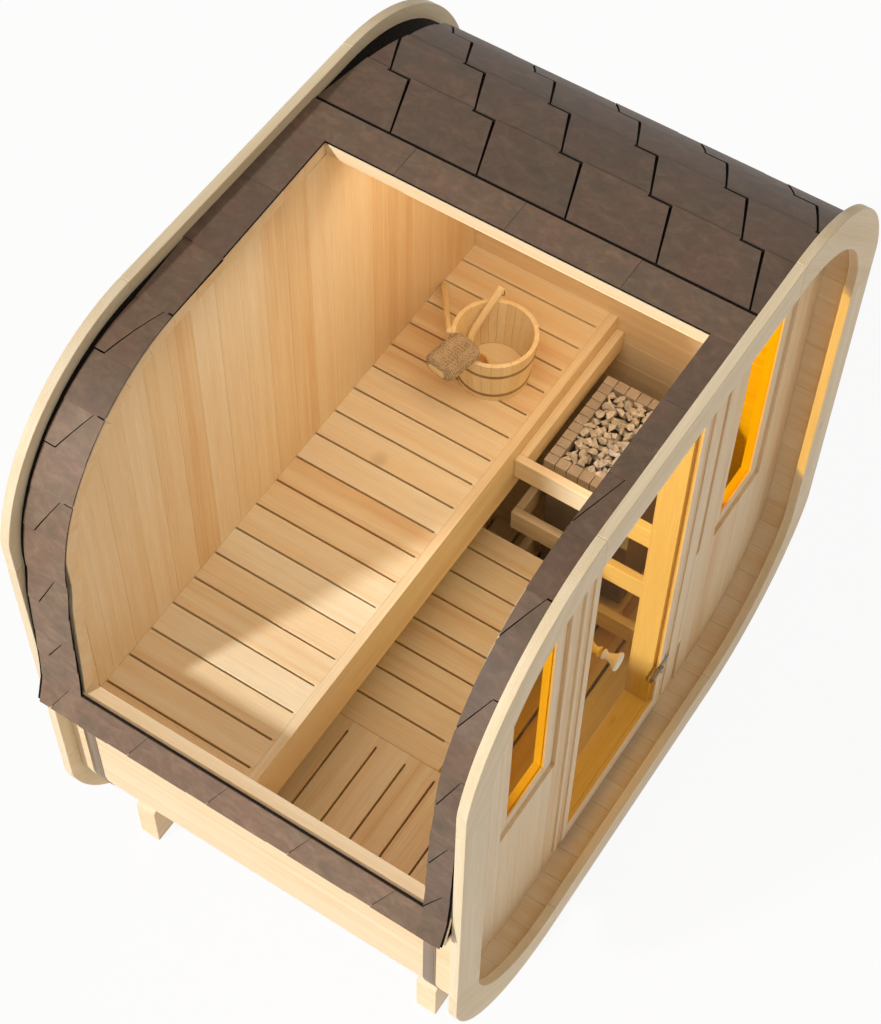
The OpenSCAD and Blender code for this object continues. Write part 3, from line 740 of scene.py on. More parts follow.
STEP_Z, STEP_Y, STEP_BACK, STEP_X0, STEP_X1 = 722, 418, 790, -486, 288
s = Stock()
marks = [STEP_X1 + GAP / 2] + [202 - i * PITCH for i in range(7)] + [STEP_X0 - GAP / 2]
for b, a in zip(marks, marks[1:]):
    slat(s, (a + GAP / 2, b - GAP / 2), (STEP_BACK, STEP_Y + 37, STEP_Y), (STEP_X0, STEP_X1), STEP_Z,
         rng.uniform(0.45, 0.9))
for y in (STEP_Y + 4, STEP_BACK - 49):
    s.board(STEP_X0, STEP_X1, y, y + 45, STEP_Z - SLAT_T - RAIL, STEP_Z - SLAT_T)
    s.board(STEP_X1 - 40, STEP_X1, y, y + 40, FLOOR_Z, STEP_Z - SLAT_T - RAIL)
s.make("lower_bench_slats", "bench_wood", stands_for="lower_bench", bevel=1.2)

s = Stock()
edge = side_limit(STEP_Z - SLAT_T)
marks = [STEP_BACK + GAP / 2] + [708 - i * PITCH for i in range(6)] + [WALL_OUT - GAP / 2]
for b, a in zip(marks, marks[1:]):
    slat(s, (a + GAP / 2, b - GAP / 2), (-edge, -519, -486.5), (WALL_OUT, STEP_BACK), STEP_Z,
         rng.uniform(0.5, 0.95), "x")
for x in (-edge, -740, -526):
    s.board(x, x + 40, WALL_OUT, STEP_BACK, STEP_Z - SLAT_T - RAIL, STEP_Z - SLAT_T)
s.make("lower_bench_left_slats", "bench_wood", stands_for="lower_bench_return", bevel=1.2)

s = Stock()
for i in range(10):
    s.board(-604, 604, 198 + 100 * i, 288 + 100 * i, FLOOR_Z - 28, FLOOR_Z, (1, 0, 0))
for x in (-440, -20, 400):
    s.board(x, x + 40, 198, BACK_IN - 4, 221, FLOOR_Z - 28)
s.make("floor_planks", "bench_wood", stands_for="floor_boards", bevel=2.2)

# ------ heater guard
s = Stock()
GUARD_X, GUARD_T, GUARD_H = 352, 28, 85
for z in (1055, 776, 497):
    limit = side_limit(z - GUARD_H) - 0.5
    s.board(GUARD_X, GUARD_X + GUARD_T, WALL_OUT, BENCH_Y, z - GUARD_H, z, tone=0.35)
    s.board(GUARD_X + GUARD_T, limit, BENCH_Y - GUARD_T, BENCH_Y, z - GUARD_H, z, tone=0.45)
s.make("guard_rails", "bench_wood", stands_for="heater_guard", bevel=3)

# ------ shingles
SKIN_R = CORNER_R - OUT
SKIN_TOP = CROWN - OUT
SKIN_LIFT = 6
SKIRT = [(CORNER_X + SKIN_R + f * SKIRT_OUT, TOP_Z - g * (TOP_Z - FOOT_Z)) for f, g in SKIRT_SHAPE]
S_ARC = SKIN_R + SKIN_LIFT
S_WALL = CORNER_X + S_ARC * math.pi / 2


def skin(s, lift=SKIN_LIFT):
    """The x and z of a point at distance s from the ridge, measured round the roof."""
    a = abs(s)
    side = -1 if s < 0 else 1
    if a <= CORNER_X:
        return side * a, SKIN_TOP + lift
    if a <= S_WALL:
        turn = (a - CORNER_X) / S_ARC
        return side * (CORNER_X + (SKIN_R + lift) * math.sin(turn)), TOP_Z + (SKIN_R + lift) * math.cos(turn)
    rest = a - S_WALL
    for (x0, z0), (x1, z1) in zip(SKIRT, SKIRT[1:]):
        length = math.hypot(x1 - x0, z1 - z0)
        if rest <= length + 0.01 or z1 == FOOT_Z:
            u = rest / length
            return side * (x0 + u * (x1 - x0) + lift), z0 + u * (z1 - z0)
        rest -= length


def s_at(z):
    """Distance from the ridge of a height on the skirt."""
    s = S_WALL
    for (x0, z0), (x1, z1) in zip(SKIRT, SKIRT[1:]):
        length = math.hypot(x1 - x0, z1 - z0)
        if z >= z1:
            return s + length * (z0 - z) / (z0 - z1)
        s += length
    return s


def clip(poly, inside, edge="cut"):
    """Cuts a polygon of (s, y, edge kind); "inside" is positive for what stays."""
    out = []
    for i, p in enumerate(poly):
        q = poly[(i + 1) % len(poly)]
        a, b = inside(p), inside(q)
        if a >= 0:
            out.append(p)
        if (a >= 0) != (b >= 0):
            u = a / (a - b)
            cross = (p[0] + u * (q[0] - p[0]), p[1] + u * (q[1] - p[1]))
            out.append((*cross, edge if a >= 0 else p[2]))
    return out


def quad(s0, s1, y0, y1, last="cut"):
    """A rectangle of felt; "last" is what its edge at s0 is, a cut or a plain face."""
    return [(s0, y0, "cut"), (s1, y0, "cut"), (s1, y1, "cut"), (s0, y1, last)]


TAB, SLOT, STEP_LEN, NOTCH = 260, 5.5, 66, 9.5
LOW_LIFT, TAB_T = 10, 4


class Shingles:
    """Tabs of one shingled area, each a flat slab whose lower end lies on the next course. The first
    argument raises the tabs' tone: this is painted light, making tabs paler where the low sun and its sheen
    fall on the left side.
    """

    def __init__(self, faded=0, low=LOW_LIFT, thick=TAB_T):
        self.v, self.f, self.kind, self.tone, self.flow = [], [], [], [], []
        self.faded, self.low, self.thick = faded, low, thick

    def slab(self, poly, s0, s1, tone, lift0=SKIN_LIFT, lift1=LOW_LIFT, thick=TAB_T, kind=0):
        """One tab, bent round the roof in strips; its lift goes from lift0 at s0 to lift1 at s1."""
        shift = (rng.uniform(-5, 5), rng.uniform(-5, 5), rng.uniform(-5, 5))
        wave = rng.uniform(-0.6, 0.6) if thick > 1 else 0
        strips = 1 if max(abs(s0), abs(s1)) <= CORNER_X else math.ceil(abs(s1 - s0) / 42)
        for k in range(strips):
            a, b = s0 + (s1 - s0) * k / strips, s0 + (s1 - s0) * (k + 1) / strips
            way = 1 if b > a else -1
            part = clip(poly, lambda p: way * (p[0] - a), "join") if k else poly
            part = clip(part, lambda p: way * (b - p[0]), "join") if k < strips - 1 else part
            if len(part) > 2:
                lifts = [lift0 + (lift1 + wave - lift0) * (q - s0) / (s1 - s0) for q in (a, b)]
                self.strip(part, a, b, lifts, thick, tone, shift, kind)

    def strip(self, poly, s0, s1, lifts, thick, tone, shift, kind):
        n, first = len(poly), len(self.v)
        for down in (0, thick):
            (xa, za), (xb, zb) = skin(s0, lifts[0] - down), skin(s1, lifts[1] - down)
            for s, y, _ in poly:
                u = (s - s0) / (s1 - s0)
                self.v.append(P(xa + u * (xb - xa), y, za + u * (zb - za)))
                self.tone.append(tone)
                self.flow.append((s / 1000 + shift[0], y / 1000 + shift[1], shift[2]))
        faces = [([first + i for i in range(n)], kind), ([first + n + i for i in range(n)][::-1], 1)]
        for i in range(n):
            if poly[i][2] != "join":
                j = (i + 1) % n
                faces.append(([first + i, first + j, first + n + j, first + n + i],
                              0 if poly[i][2] == "face" else 1))
        self.f += [f for f, _ in faces]
        self.kind += [k for _, k in faces]

    def course(self, side, s0, s1, top, bottom, limits, slot=SLOT, notch=NOTCH, step=STEP_LEN):
        """One row of tabs: "top" and "bottom" are where its slots start and end, along the depth."""
        g = slot / 2
        for k in range(-12, 8):
            y0, y1 = top + TAB * k, bottom + TAB * k
            poly = [(s0, y0 + g, "cut"), (s1 - notch, y1 + g, "cut"), (s1 - notch, y1 + step, "cut"),
                    (s1, y1 + step, "face"), (s1, y1 + TAB - g, "cut"), (s0, y0 + TAB - g, "face")]
            line = quad(s1 - notch - 1, s1 - 2.5, y1 - g, y1 + step)
            for inside in limits:
                poly, line = clip(poly, inside), clip(line, inside)
            poly, line = [[(side * s, y, kind) for s, y, kind in part] for part in (poly, line)]
            self.slab(poly, side * s0, side * s1, self.faded + rng.random(), SKIN_LIFT, self.low,
                      self.thick)
            # a black strip in each tab's notch: painted shade of the step down to the next course
            if notch > 5 and len(line) > 2:
                lift = LOW_LIFT - 0.7
                self.slab(line, side * (s1 - notch - 1), side * (s1 - 2.5), -1, lift, lift, 2.2, 1)

    def sheet(self, side, s0, s1, limits):
        """Black underlay below the tabs: painted shade where it shows, in the gaps where tabs stop short of
        the rings and along the cut edges.
        """
        poly = quad(s0, s1, 0, DEPTH)
        for inside in limits:
            poly = clip(poly, inside)
        poly = [(side * s, y, kind) for s, y, kind in poly]
        self.slab(poly, side * s0, side * s1, -1, 1.2, 1.2, 0.9, 1)

    def make(self, name, stands_for):
        mesh = new_mesh(name, self.v, self.f, ["bitumen_shingle", "bitumen_edge_and_painted_shade"], self.flow, self.tone,
                        1e-5, self.kind)
        mesh.shade_smooth()
        mesh.set_sharp_from_angle(angle=math.radians(30))
        place_piece(mesh, name, "cabin", stands_for, 0, False)


def after(y):
    return lambda p: p[1] - y


def before(y):
    return lambda p: y - p[1]


def back_cut(side):
    return lambda p: p[1] - BACK_CUT - TURN * skin(side * p[0])[0]


def before_back_cut(side):
    return lambda p: BACK_CUT + TURN * skin(side * p[0])[0] - p[1]


CAP_S, CAP_RIGHT, CAP_GAP = 285, 297, 12
WALL_S = [s_at(z) for z in (1727, 1600, 1456, 1350, 1235, 1130)]
# each course: where it starts and ends round the roof, and its slots' ends along the depth
LEFT = list(zip([250, 476, 643, 782, 898, 1018, 1138] + WALL_S[:-1],
                [476, 643, 782, 898, 1018, 1138] + WALL_S,
                [52, 188] * 6, [110, 245] * 6))
RIGHT_S = [CAP_RIGHT + CAP_GAP, 493, 645, 795, 915, 1035, 1155] + WALL_S
RIGHT = [(a, b, 843 + 123 * i, 904 + 123 * i) for i, (a, b) in enumerate(zip(RIGHT_S, RIGHT_S[1:]))]
SHEET = (CAP_S - 20, s_at(1131))
THIN = (8.5, 2.5)       # lift of a thin tab's lower end, and its thickness


def uneven_end(p):
    """The back hoop's tabs stop short of the back ring, a little more down each course; the black sheet in
    the gap is painted shade by the ring.
    """
    for a, b, _, _ in LEFT:
        if a <= p[0] <= b:
            break
    return DEPTH - RING_T - min(1 + 0.09 * (p[0] - a), 18) - p[1]


def fine(s1):
    """Slot and notch of the thin tabs on the left; the last course has the finest."""
    return (1, 2) if s1 > LEFT[-2][1] else (2, 4)


def short_of_ring(p):
    """The roof's tabs stop short of the back ring, most at the roof's edge; the black sheet in the gap is
    painted shade by the ring.
    """
    gap = min(max(p[0] - 300, 0) * 0.17, 60, max(60 - (p[0] - 800) * 0.15, 12))
    return DEPTH - RING_T - gap - p[1]


sides = Shingles()
for a, b, top, bottom in RIGHT:
    sides.course(1, a, b, top, bottom, [after(RING_T), short_of_ring])
sides.sheet(1, *SHEET, [after(RING_T), before(DEPTH - RING_T)])
# the black line beside the ridge cap: a black strip that is painted shade along the cap's edge
s0, s1 = CAP_RIGHT - 1, CAP_RIGHT + CAP_GAP - 1
sides.slab(quad(s0, s1, RING_T, DEPTH - RING_T), s0, s1, -1, 5.5, 5.5, 4, 1)
sides.make("roof_tabs", ("roof_shingles", "right_wall_shingles"))

# painted light: the hoops' and the left wall's tabs get raised tones, most down the left side, where the sun
# falls
front = Shingles(1.2, *THIN)
for a, b, top, bottom in LEFT:
    front.course(-1, a, b, top, bottom, [after(RING_T + 4), before(CUT_FRONT)], *fine(b))
front.sheet(-1, *SHEET, [after(RING_T), before(CUT_FRONT)])
front.make("front_hoop_tabs", "front_hoop_shingles")

back = Shingles(2.0, *THIN)
for a, b, top, bottom in LEFT:
    # painted light: the back hoop's lower courses are paler still, for the sun's sheen on its corner
    back.faded = 2.0 if b < 800 else 4.0
    back.course(-1, a, b, top, bottom, [back_cut(-1), uneven_end], *fine(b))
back.sheet(-1, *SHEET, [lambda p: back_cut(-1)(p) + 2, before(DEPTH - RING_T)])
back.make("back_hoop_tabs", "back_hoop_shingles")

left = Shingles(3.6, *THIN)
a, b, top, bottom = LEFT[-1]
left.course(-1, a, b, top, bottom, [after(CUT_FRONT), before_back_cut(-1)], *fine(b))
# the black sheet starts above the tabs: a black line painted as the shade at the left wall's cut
left.sheet(-1, a - 9, s_at(1131), [after(CUT_FRONT), before_back_cut(-1)])
left.make("left_wall_tabs", "left_wall_shingles")

# the ridge cap: pieces that overlap along the depth
CAP_LIFT = (10, 10, 7)      # lift at both edges, and thickness
cap = Shingles()
marks = [RING_T, 356, 688, 1015, DEPTH - RING_T]
for y0, y1 in zip(marks, marks[1:]):
    cap.slab(quad(CUT_X, CAP_RIGHT, y0, y1 - 1), CUT_X, CAP_RIGHT, rng.uniform(2.6, 3.6), *CAP_LIFT)
for x0, x1 in ((-CAP_S, -40), (-39, CUT_X)):
    cap.slab(quad(x0, x1, RING_T + 5, CUT_FRONT, "face"), x0, x1, rng.uniform(1.2, 1.9), *CAP_LIFT)
for x0, x1 in ((-262, -20), (-19, CUT_X)):
    y0, y1 = BACK_CUT + TURN * x0, BACK_CUT + TURN * x1
    cap.slab([(x0, y0, "cut"), (x1, y1, "cut"), (x1, DEPTH - RING_T, "cut"), (x0, DEPTH - RING_T, "face")],
             x0, x1, rng.uniform(1.2, 1.9), *CAP_LIFT)
cap.make("ridge_tabs", "ridge_cap")

# timber battens behind the flared foot of the shingles
BATTEN = [(985, 1134), (1066, 1134), (1040, 1215), (1036, 1238), (991, 1238), (985, 1180)]
s = Stock()
s.prism(BATTEN, "y", Y0, Y1, tone=0.3)
s.prism([(-x, z) for x, z in BATTEN], "y", Y0, Y1, tone=0.3)
s.make("skirt_battens", "stave_wood", bevel=2, slot="stave_wood")

# ------ cradle beams and straps
BEAM_HALF, BEAM_W, BEAM_H, CHAMFER = 866, 70, 210, 32


s = Stock()
for y in (169, 1210):
    xs = sorted([BEAM_HALF * (i / 16 - 1) for i in range(33)] + [BEAM_HALF - CHAMFER, CHAMFER - BEAM_HALF])
    tops = [(x, min(BEAM_H, 2 * MID_Z - outline_z(x, OUT), BEAM_H - CHAMFER + BEAM_HALF - abs(x)))
            for x in xs]
    s.prism([(-BEAM_HALF, 0), (BEAM_HALF, 0)] + tops[::-1], "y", y, y + BEAM_W, (1, 0, 0), 0.4)
s.make("cradle_beams", "beam_wood", stands_for="foot_beams", bevel=3)

def band_edge(side, lift):
    """A band's line from below the felt to the middle of the underside."""
    arc = [arc_point(90 * i / 24, OUT - lift, side, True) for i in range(24, -1, -1)]
    return [(side * (HALF_W - OUT + lift), FOOT_Z - 2)] + arc


# two steel bands round the lower shell, each a strip with a raised front edge
s = Stock()
for y0, y1 in ((100, 140), (1246, 1286)):
    for side in (-1, 1):
        for a, b, lift in ((y0, y0 + 4, 2.4), (y0 + 4, y1, 1.2)):
            s.prism(band_edge(side, lift) + band_edge(side, -0.5)[::-1], "y", a, b, (0, 1, 0), 0.5)
    s.board(-CORNER_X, CORNER_X, y0, y1, KEEL + OUT - 1.2, KEEL + OUT + 0.5, (1, 0, 0), 0.5)
s.make("steel_bands", "strap_steel", stands_for="steel_straps", slot="strap_steel")

# ------ heater
HX, HW, HBACK, HD, HZ = 440, 380, 650, 320, 990
RIM_W, RIM_H, INSET, JOINT = 38, 40, 12, 2.2
CASE_FOOT, CASE_LOW, TRAY_Z = 376, 416, 870
HFRONT = HBACK - HD


def tile_row(s, x0, x1, y0, y1, z0, z1, n, along_x):
    """Tiles in a row with thin joints."""
    for a, b in split(*((x0, x1) if along_x else (y0, y1)), n):
        a, b = a + JOINT / 2, b - JOINT / 2
        s.board(*((a, b, y0, y1) if along_x else (x0, x1, a, b)), z0, z1)


s = Stock()
tile_row(s, HX, HX + HW, HFRONT, HFRONT + RIM_W, HZ - RIM_H, HZ, 11, True)
tile_row(s, HX, HX + HW, HBACK - RIM_W, HBACK, HZ - RIM_H, HZ, 11, True)
for x in (HX, HX + HW - RIM_W):
    tile_row(s, x, x + RIM_W, HFRONT + RIM_W + 1, HBACK - RIM_W - 1, HZ - RIM_H, HZ, 6, False)
s.make("heater_rim_tiles", "heater_enamel", bevel=2, slot="heater_enamel")
s = Stock()
x0, x1, y0, y1 = HX + INSET, HX + HW - INSET, HFRONT + INSET, HBACK - INSET
s.board(x0, x1, y0, y1, CASE_LOW, TRAY_Z)
for a, b, c, d in ((x0, x1, y0, HFRONT + RIM_W - 2), (x0, x1, HBACK - RIM_W + 2, y1),
                   (x0, HX + RIM_W - 2, y0, y1), (HX + HW - RIM_W + 2, x1, y0, y1)):
    s.board(a, b, c, d, TRAY_Z, HZ - 3)
s.board(x0 + 30, x1 - 30, y0 + 30, y1 - 30, CASE_FOOT, CASE_LOW)
s.make("heater_case", "heater_case", stands_for="heater_body", bevel=3, slot="heater_enamel")


def stones(name, x0, x1, y0, y1, z):
    """Broken stones in a tray, in two layers: each is the hull of a few random points."""
    bm = bmesh.new()
    tone = bm.verts.layers.float.new("tone")
    for nx, ny, drop in ((10, 8, 19), (11, 9, 0)):
        for i in range(nx * ny):
            x = x0 + (x1 - x0) * (i % nx + 0.5 + rng.uniform(-0.32, 0.32)) / nx
            y = y0 + (y1 - y0) * (i // nx + 0.5 + rng.uniform(-0.32, 0.32)) / ny
            size = Vector((rng.uniform(16, 26), rng.uniform(12, 17), rng.uniform(10, 14)))
            turn = Matrix.Rotation(rng.uniform(0, math.pi), 3, "Z")
            turn = turn @ Matrix.Rotation(rng.uniform(-0.4, 0.4), 3, "X")
            u, v = turn @ Vector((size.x, 0, 0)), turn @ Vector((0, size.y, 0))
            reach_x, reach_y = 0.8 * max(abs(u.x), abs(v.x)), 0.8 * max(abs(u.y), abs(v.y))
            x = min(max(x, x0 + reach_x), x1 - reach_x)
            y = min(max(y, y0 + reach_y), y1 - reach_y)
            own = rng.random()
            centre = Vector((x, y, z - drop + rng.uniform(-4, 4)))
            corners = []
            for _ in range(11):
                d = Vector([rng.gauss(0, 1) for _ in range(3)]).normalized()
                d = turn @ Vector((d.x * size.x, d.y * size.y, d.z * size.z)) * rng.uniform(0.9, 1.05)
                v = bm.verts.new(P(*(centre + d)))
                v[tone] = own
                corners.append(v)
            spare = bmesh.ops.convex_hull(bm, input=corners)["geom_interior"]
            bmesh.ops.delete(bm, geom=[g for g in spare if isinstance(g, bmesh.types.BMVert)])
    mesh = bpy.data.meshes.new(name)
    bm.to_mesh(mesh)
    bm.free()
    mesh.materials.append(M["stone"])
    place_piece(mesh, name, "cabin", "heater_stones", 0.8, False)


stones("heater_rocks", HX + RIM_W, HX + HW - RIM_W, HFRONT + RIM_W, HBACK - RIM_W, HZ - 6)

s = Stock()
SHELF_Z = CASE_FOOT - 22
s.board(HX - 10, side_limit(SHELF_Z) - 1, HFRONT + 5, HBACK - 5, SHELF_Z, CASE_FOOT, (1, 0, 0))
for y in (HFRONT + 5, HBACK - 45):
    s.board(HX, HX + 40, y, y + 40, FLOOR_Z, SHELF_Z)
s.make("heater_shelf", "bench_wood", stands_for="heater_stand", bevel=2.5)

# ------ bucket, ladle and brush
BX, BY, B_H, B_R, B_BASE, B_WALL = 554, 905, 190, 130, 108, 14
MOVE = Vector((19, 12, -34))     # what leans on the bucket moves with it and its lower rim
STAVES = 26
s = Stock()
for i in range(STAVES):
    a0, a1 = 2 * math.pi * i / STAVES + 0.002, 2 * math.pi * (i + 1) / STAVES - 0.002
    rise = rng.uniform(-0.2, 0.2)
    pts = []
    rim = B_H + rise - 0.6
    for r, z in ((B_BASE, 0), (B_BASE - B_WALL, 0), (B_R, rim), (B_R - B_WALL, rim)):
        for a in (a0, (a0 + a1) / 2, a1):
            pts.append((BX + r * math.cos(a), BY + r * math.sin(a), BENCH_Z + z))
    faces = [(0, 1, 4, 3), (1, 2, 5, 4), (6, 9, 10, 7), (7, 10, 11, 8), (0, 6, 7, 1), (1, 7, 8, 2),
             (3, 4, 10, 9), (4, 5, 11, 10), (0, 3, 9, 6), (2, 8, 11, 5)]
    s.add(pts, faces, (0, 0, 1))
N_BASE = 48
ring = [(BX + 95 * math.cos(2 * math.pi * i / N_BASE), BY + 95 * math.sin(2 * math.pi * i / N_BASE))
        for i in range(N_BASE)]
s.prism(ring, "z", BENCH_Z + 2, BENCH_Z + 20, (0, 1, 0), 0.9)
s.make("bucket_staves", "bucket_wood", stands_for="bucket", bevel=0.8)


def turned(name, material, centre, profile, body="cabin", stands_for=(), segments=64, axis="z", bevel=0.0):
    """A shape turned round an axis: profile points are (radius, distance along the axis)."""
    verts, faces = [], []
    for r, d in profile:
        for i in range(segments):
            a = 2 * math.pi * i / segments
            c, e = r * math.cos(a), r * math.sin(a)
            x, y, z = (c, e, d) if axis == "z" else (c, d, e)
            verts.append(P(centre[0] + x, centre[1] + y, centre[2] + z))
    rows = len(profile)
    closed = profile[0][0] > 0.01
    for j in range(rows if closed else rows - 1):
        k = (j + 1) % rows
        for i in range(segments):
            n = (i + 1) % segments
            faces.append((j * segments + i, j * segments + n, k * segments + n, k * segments + i))
    mesh = new_mesh(name, verts, faces, [material], weld=1e-6)
    place_piece(mesh, name, body, stands_for, bevel)


for k, z in enumerate((26, 128)):
    r0, r1 = (B_BASE + (B_R - B_BASE) * q / B_H for q in (z, z + 12))
    turned(f"bucket_hoop_{k + 1}", "hoop", (BX, BY, BENCH_Z + z),
           [(r0 - 0.5, 0), (r0 + 1.6, 0), (r1 + 1.6, 12), (r1 - 0.5, 12)], segments=96, bevel=0.5)


def rounds(rows, n):
    """Faces of a closed form whose points are rows of n, each once round it."""
    faces = [(i * n + j, i * n + (j + 1) % n, (i + 1) * n + (j + 1) % n, (i + 1) * n + j)
             for i in range(rows - 1) for j in range(n)]
    return faces + [list(range(n))[::-1], [(rows - 1) * n + j for j in range(n)]]


def tube(points, radii, sides, flat=1.0, up=None):
    """Vertices and faces of a rod through points, its section squashed by "flat"."""
    verts = []
    pts = [Vector(p) for p in points]
    for i, p in enumerate(pts):
        ahead = (pts[min(i + 1, len(pts) - 1)] - pts[max(i - 1, 0)]).normalized()
        ref = Vector(up) if up else (Vector((0, 0, 1)) if abs(ahead.z) < 0.9 else Vector((1, 0, 0)))
        u = ahead.cross(ref).normalized()
        v = u.cross(ahead).normalized()
        for j in range(sides):
            a = 2 * math.pi * j / sides
            verts.append(p + radii[i] * (math.cos(a) * u + math.sin(a) * flat * v))
    return [tuple(v) for v in verts], rounds(len(pts), sides)


def smooth_path(points, n):
    """Points on a smooth curve through the given ones."""
    p = [Vector(q) for q in points]
    p = [2 * p[0] - p[1]] + p + [2 * p[-1] - p[-2]]
    out = []
    for i in range(1, len(p) - 2):
        for k in range(n):
            u = k / n
            out.append(0.5 * (2 * p[i] + (p[i + 1] - p[i - 1]) * u
                              + (2 * p[i - 1] - 5 * p[i] + 4 * p[i + 1] - p[i + 2]) * u * u
                              + (3 * p[i] - p[i - 1] - 3 * p[i + 1] + p[i + 2]) * u ** 3))
    out.append(p[-2])
    return out


# ladle: a cup in the bucket and a flat handle that leans on its rim
turned("ladle_cup", "bucket_wood_turned", (BX - 45, BY + 32, BENCH_Z + 20),
       [(0, 0), (30, 0), (34, 4), (36, 14), (36, 55), (34.5, 58), (32, 57), (30.5, 52), (30, 12), (0, 9)])
HANDLE = ((496, 960, 1180), (518, 966, 1208), (545, 979, 1252), (590, 968, 1306), (632, 956, 1354),
          (657, 949, 1384))
path = smooth_path([Vector(p) + MOVE for p in HANDLE], 6)
widths = [8.5 + 3 * min(i / (len(path) - 1) * 1.6, 1) for i in range(len(path))]
s = Stock()
v, f = tube(path, widths, 16, 0.6, (-0.5, -0.4, 0.75))
s.add(v, f, (0.7, -0.1, 0.7), 0.6)
s.make("ladle_handle", "bucket_wood", stands_for="ladle", slot="bucket_wood")
end = path[-1]
loop = [(end.x + 3 * math.sin(a), end.y + 11 * math.sin(a) - 2, end.z - 20.6 + 15 * math.cos(a))
        for a in [2 * math.pi * i / 28 for i in range(29)]]
v, f = tube(loop, [1.3] * len(loop), 8)
s = Stock()
s.add(v, f, (1, 0, 0), 0.5)
s.make("ladle_loop", "leather", slot="bucket_wood")

# bath brush: knitted head with wooden ends, and its stick
BR_X, BR_Y, BR_W, BR_T, BR_LEN, BR_TURN = 390, 947, 110, 64, 142, math.radians(9.5)
BR_Z = BENCH_Z + B_H + BR_T / 2


def brush_point(along, angle, grow=0.0):
    """A point round the head: "along" runs -1 to 1 from end to end, the angle goes round."""
    side = 1 if math.cos(angle) >= 0 else -1
    end = max(abs(along) - 0.72, 0) / 0.28
    flat = (BR_W - BR_T) / 2 * (1 - 0.25 * end * end)
    r = (BR_T / 2 + grow) * math.sqrt(1 - (end * 0.84) ** 2)
    u = side * flat + r * math.cos(angle)
    v = r * math.sin(angle)
    w = along * BR_LEN / 2
    # the head lies with its length along the turned X axis
    x = BR_X + w * math.cos(BR_TURN) - u * math.sin(BR_TURN)
    y = BR_Y - (w * math.sin(BR_TURN) + u * math.cos(BR_TURN))
    return (x, y, BR_Z + v)


ROWS, ROUNDS = 76, 132
verts = []
for i in range(ROWS + 1):
    a = -1 + 2 * i / ROWS
    for j in range(ROUNDS):
        angle = 2 * math.pi * j / ROUNDS
        # knit: chains of stitches along the head, each leaning the other way
        chain = math.cos(angle * 33)
        lean = 1 if int(j / 2) % 2 else -1
        stitch = math.sin(i * 1.15 + lean * 0.9 + math.sin(angle * 3) * 0.3)
        verts.append(P(*brush_point(a, angle, 0.9 * chain + 0.9 * stitch - 2.0)))
mesh = new_mesh("brush_head", verts, rounds(ROWS + 1, ROUNDS), ["sisal"])
place_piece(mesh, "brush_head", "cabin", "bath_brush", 0)
s = Stock()
for end in (-1, 1):
    pts = []
    for grow, reach in ((-6, 0.96), (-6, 1.0), (-9, 1.012)):
        shift = end * (reach - 1) * BR_LEN / 2
        pts += [(x + shift * math.cos(BR_TURN), y - shift * math.sin(BR_TURN), z)
                for x, y, z in (brush_point(end, 2 * math.pi * i / 40, grow) for i in range(40))]
    s.add(pts, rounds(3, 40), (0, 1, 0), 0.2)
s.make("brush_ends", "stick_wood", slot="bucket_wood", bevel=0.8)
top, foot = Vector((442, 994, 1364)) + MOVE, Vector((745, 1206, 1119))
path = [top + (foot - top) * i / 24 for i in range(25)]
s = Stock()
v, f = tube(path, [8.0 + 4.5 * max(i / 24 - 0.25, 0) for i in range(25)], 18, 0.9)
s.add(v, f, tuple(foot - top), 0.1)
s.make("brush_stick", "stick_wood", slot="bucket_wood")

# ------ door knobs
for name, y, way in (("knob_outside", 99, -1), ("knob_inside", 107, 1)):
    profile = [(0, 0), (15, 0), (15, 4), (13.5, 6), (10.5, 9), (10, 14), (12.5, 24), (19, 36), (25.5, 43),
               (28.5, 47), (28, 50), (25.5, 52), (12, 53), (0, 53.2)]
    profile = [(r, way * d * 52 / 53.2) for r, d in profile]
    turned(name, "knob_wood", (-176, y, 1255), profile, "door", "door_knobs", axis="y")

# ------ camera
AZ, EL, ROLL = (math.radians(a) for a in (-57.9889, 56.4935, 1.3208))
back = Vector((math.sin(AZ) * math.cos(EL), -math.cos(AZ) * math.cos(EL), math.sin(EL)))
right = (-back).cross(Vector((0, 0, 1))).normalized()
up = right.cross(-back)
right_r = math.cos(ROLL) * right + math.sin(ROLL) * up
up_r = -math.sin(ROLL) * right + math.cos(ROLL) * up
cam = link(bpy.data.objects.new("camera", bpy.data.cameras.new("camera")))
place = Matrix((right_r, up_r, back)).transposed().to_4x4()
place.translation = Vector((-2.895, -1.7565, 6.347))
cam.matrix_world = place
cam.data.sensor_width = 36
cam.data.lens = 76.888828     # millimetres, on a 36 mm sensor
cam.data.clip_end = 100
bpy.context.scene.camera = cam

# ------ floor and light
def seen_white(t):
    """1 for rays from the camera, a mirror or glass, for which the background is white."""
    rays = node(t, "LightPath").outputs
    other = math_node(t, "MAXIMUM", rays["Is Glossy Ray"], rays["Is Transmission Ray"])
    return math_node(t, "MAXIMUM", rays["Is Camera Ray"], other)


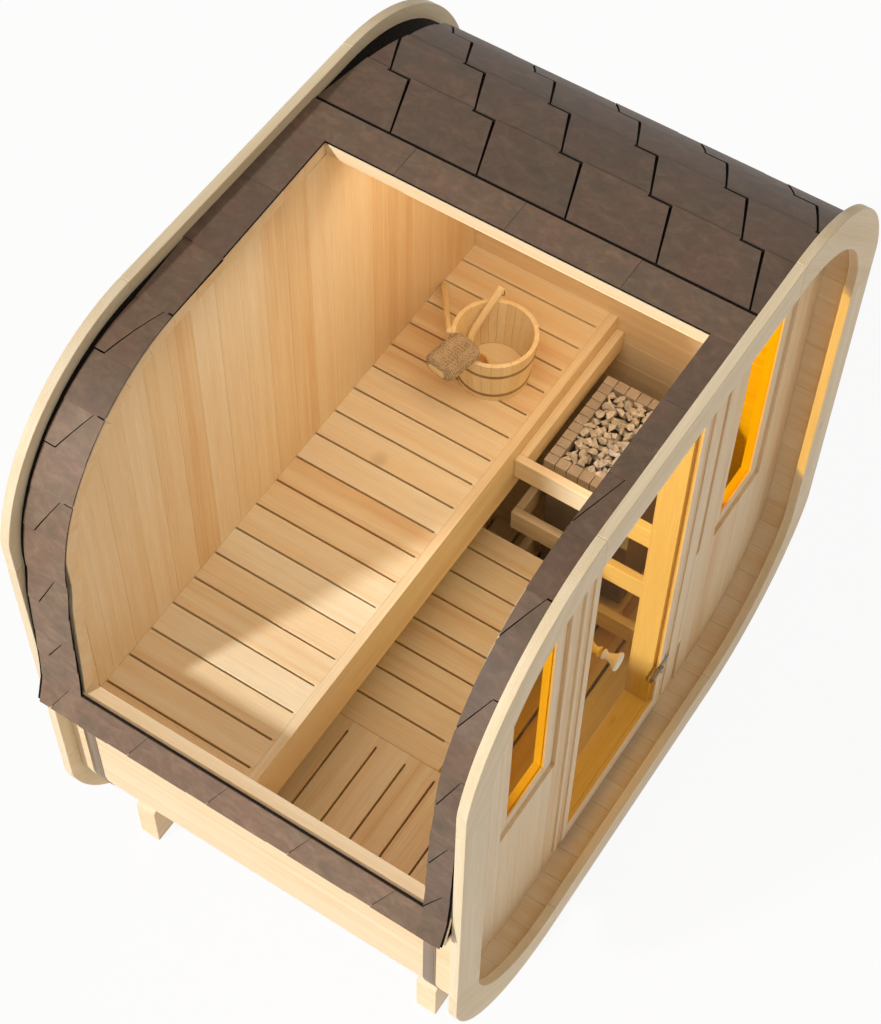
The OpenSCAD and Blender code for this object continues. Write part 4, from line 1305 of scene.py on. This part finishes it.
floor_mesh = bpy.data.meshes.new("floor")
floor_mesh.from_pydata([(-30, -30, -0.0005), (30, -30, -0.0005), (30, 30, -0.0005), (-30, 30, -0.0005)], [],
                       [(0, 1, 2, 3)])
floor = link(bpy.data.objects.new("floor", floor_mesh))
m, t, out = bare_material("floor")
dif = node(t, "BsdfDiffuse")
dif.inputs[0].default_value = (0.85, 0.85, 0.85, 1)
em = node(t, "Emission")
mx = node(t, "MixShader")
t.links.new(math_node(t, "MULTIPLY", seen_white(t), 0.93), mx.inputs[0])
t.links.new(dif.outputs[0], mx.inputs[1])
t.links.new(em.outputs[0], mx.inputs[2])
t.links.new(mx.outputs[0], out.inputs[0])
floor_mesh.materials.append(m)

AMBIENT = 0.30
world = bpy.data.worlds.new("world")
bpy.context.scene.world = world
world.use_nodes = True
wt = world.node_tree
bg = wt.nodes["Background"]
white = seen_white(wt)
wt.links.new(mix(wt, white, (1.0, 0.89, 0.79), (1, 1, 1)), bg.inputs[0])
wt.links.new(math_node(wt, "MULTIPLY_ADD", white, 1 - AMBIENT, AMBIENT), bg.inputs[1])


def lamp(name, kind, energy, colour, **values):
    data = bpy.data.lights.new(name, kind)
    data.energy = energy
    data.color = colour
    for k, v in values.items():
        setattr(data, k, v)
    return link(bpy.data.objects.new(name, data))


def sunlight(name, energy, angle, colour, towards):
    """A distant lamp: "towards" points at it, the angle is how wide it is, in degrees."""
    o = lamp(name, "SUN", energy, colour, angle=math.radians(angle))
    o.rotation_mode = "QUATERNION"
    o.rotation_quaternion = Vector(towards).to_track_quat("Z", "Y")


# low sun from behind on the left, soft at its edge
sunlight("key", 2.9, 5, (1, 0.99, 0.965), (-1.72, 0.82, 1.0))
# wide soft light from the front, for the front's faces
sunlight("fill", 0.36, 60, (1, 0.93, 0.82), (0.2, -1, 0.75))
# soft lamp over the opening, which fills the room
box = lamp("box", "AREA", 2.2, (1, 0.95, 0.86), shape="RECTANGLE", size=0.6, size_y=0.85)
box.location = P(-110, 560, 2200)
# warm lamp under what is left of the roof
glow = lamp("glow", "AREA", 3.8, (1, 0.82, 0.6), shape="RECTANGLE", size=0.14, size_y=0.8)
away = Vector((-0.9, 0, 1)).normalized()
turn = Matrix((Vector((0, 1, 0)).cross(away), (0, 1, 0), away)).transposed().to_4x4()
glow.matrix_world = Matrix.Translation(P(285, 600, 2165)) @ turn
box.visible_camera = glow.visible_camera = False

bpy.context.scene.view_settings.view_transform = "Standard"
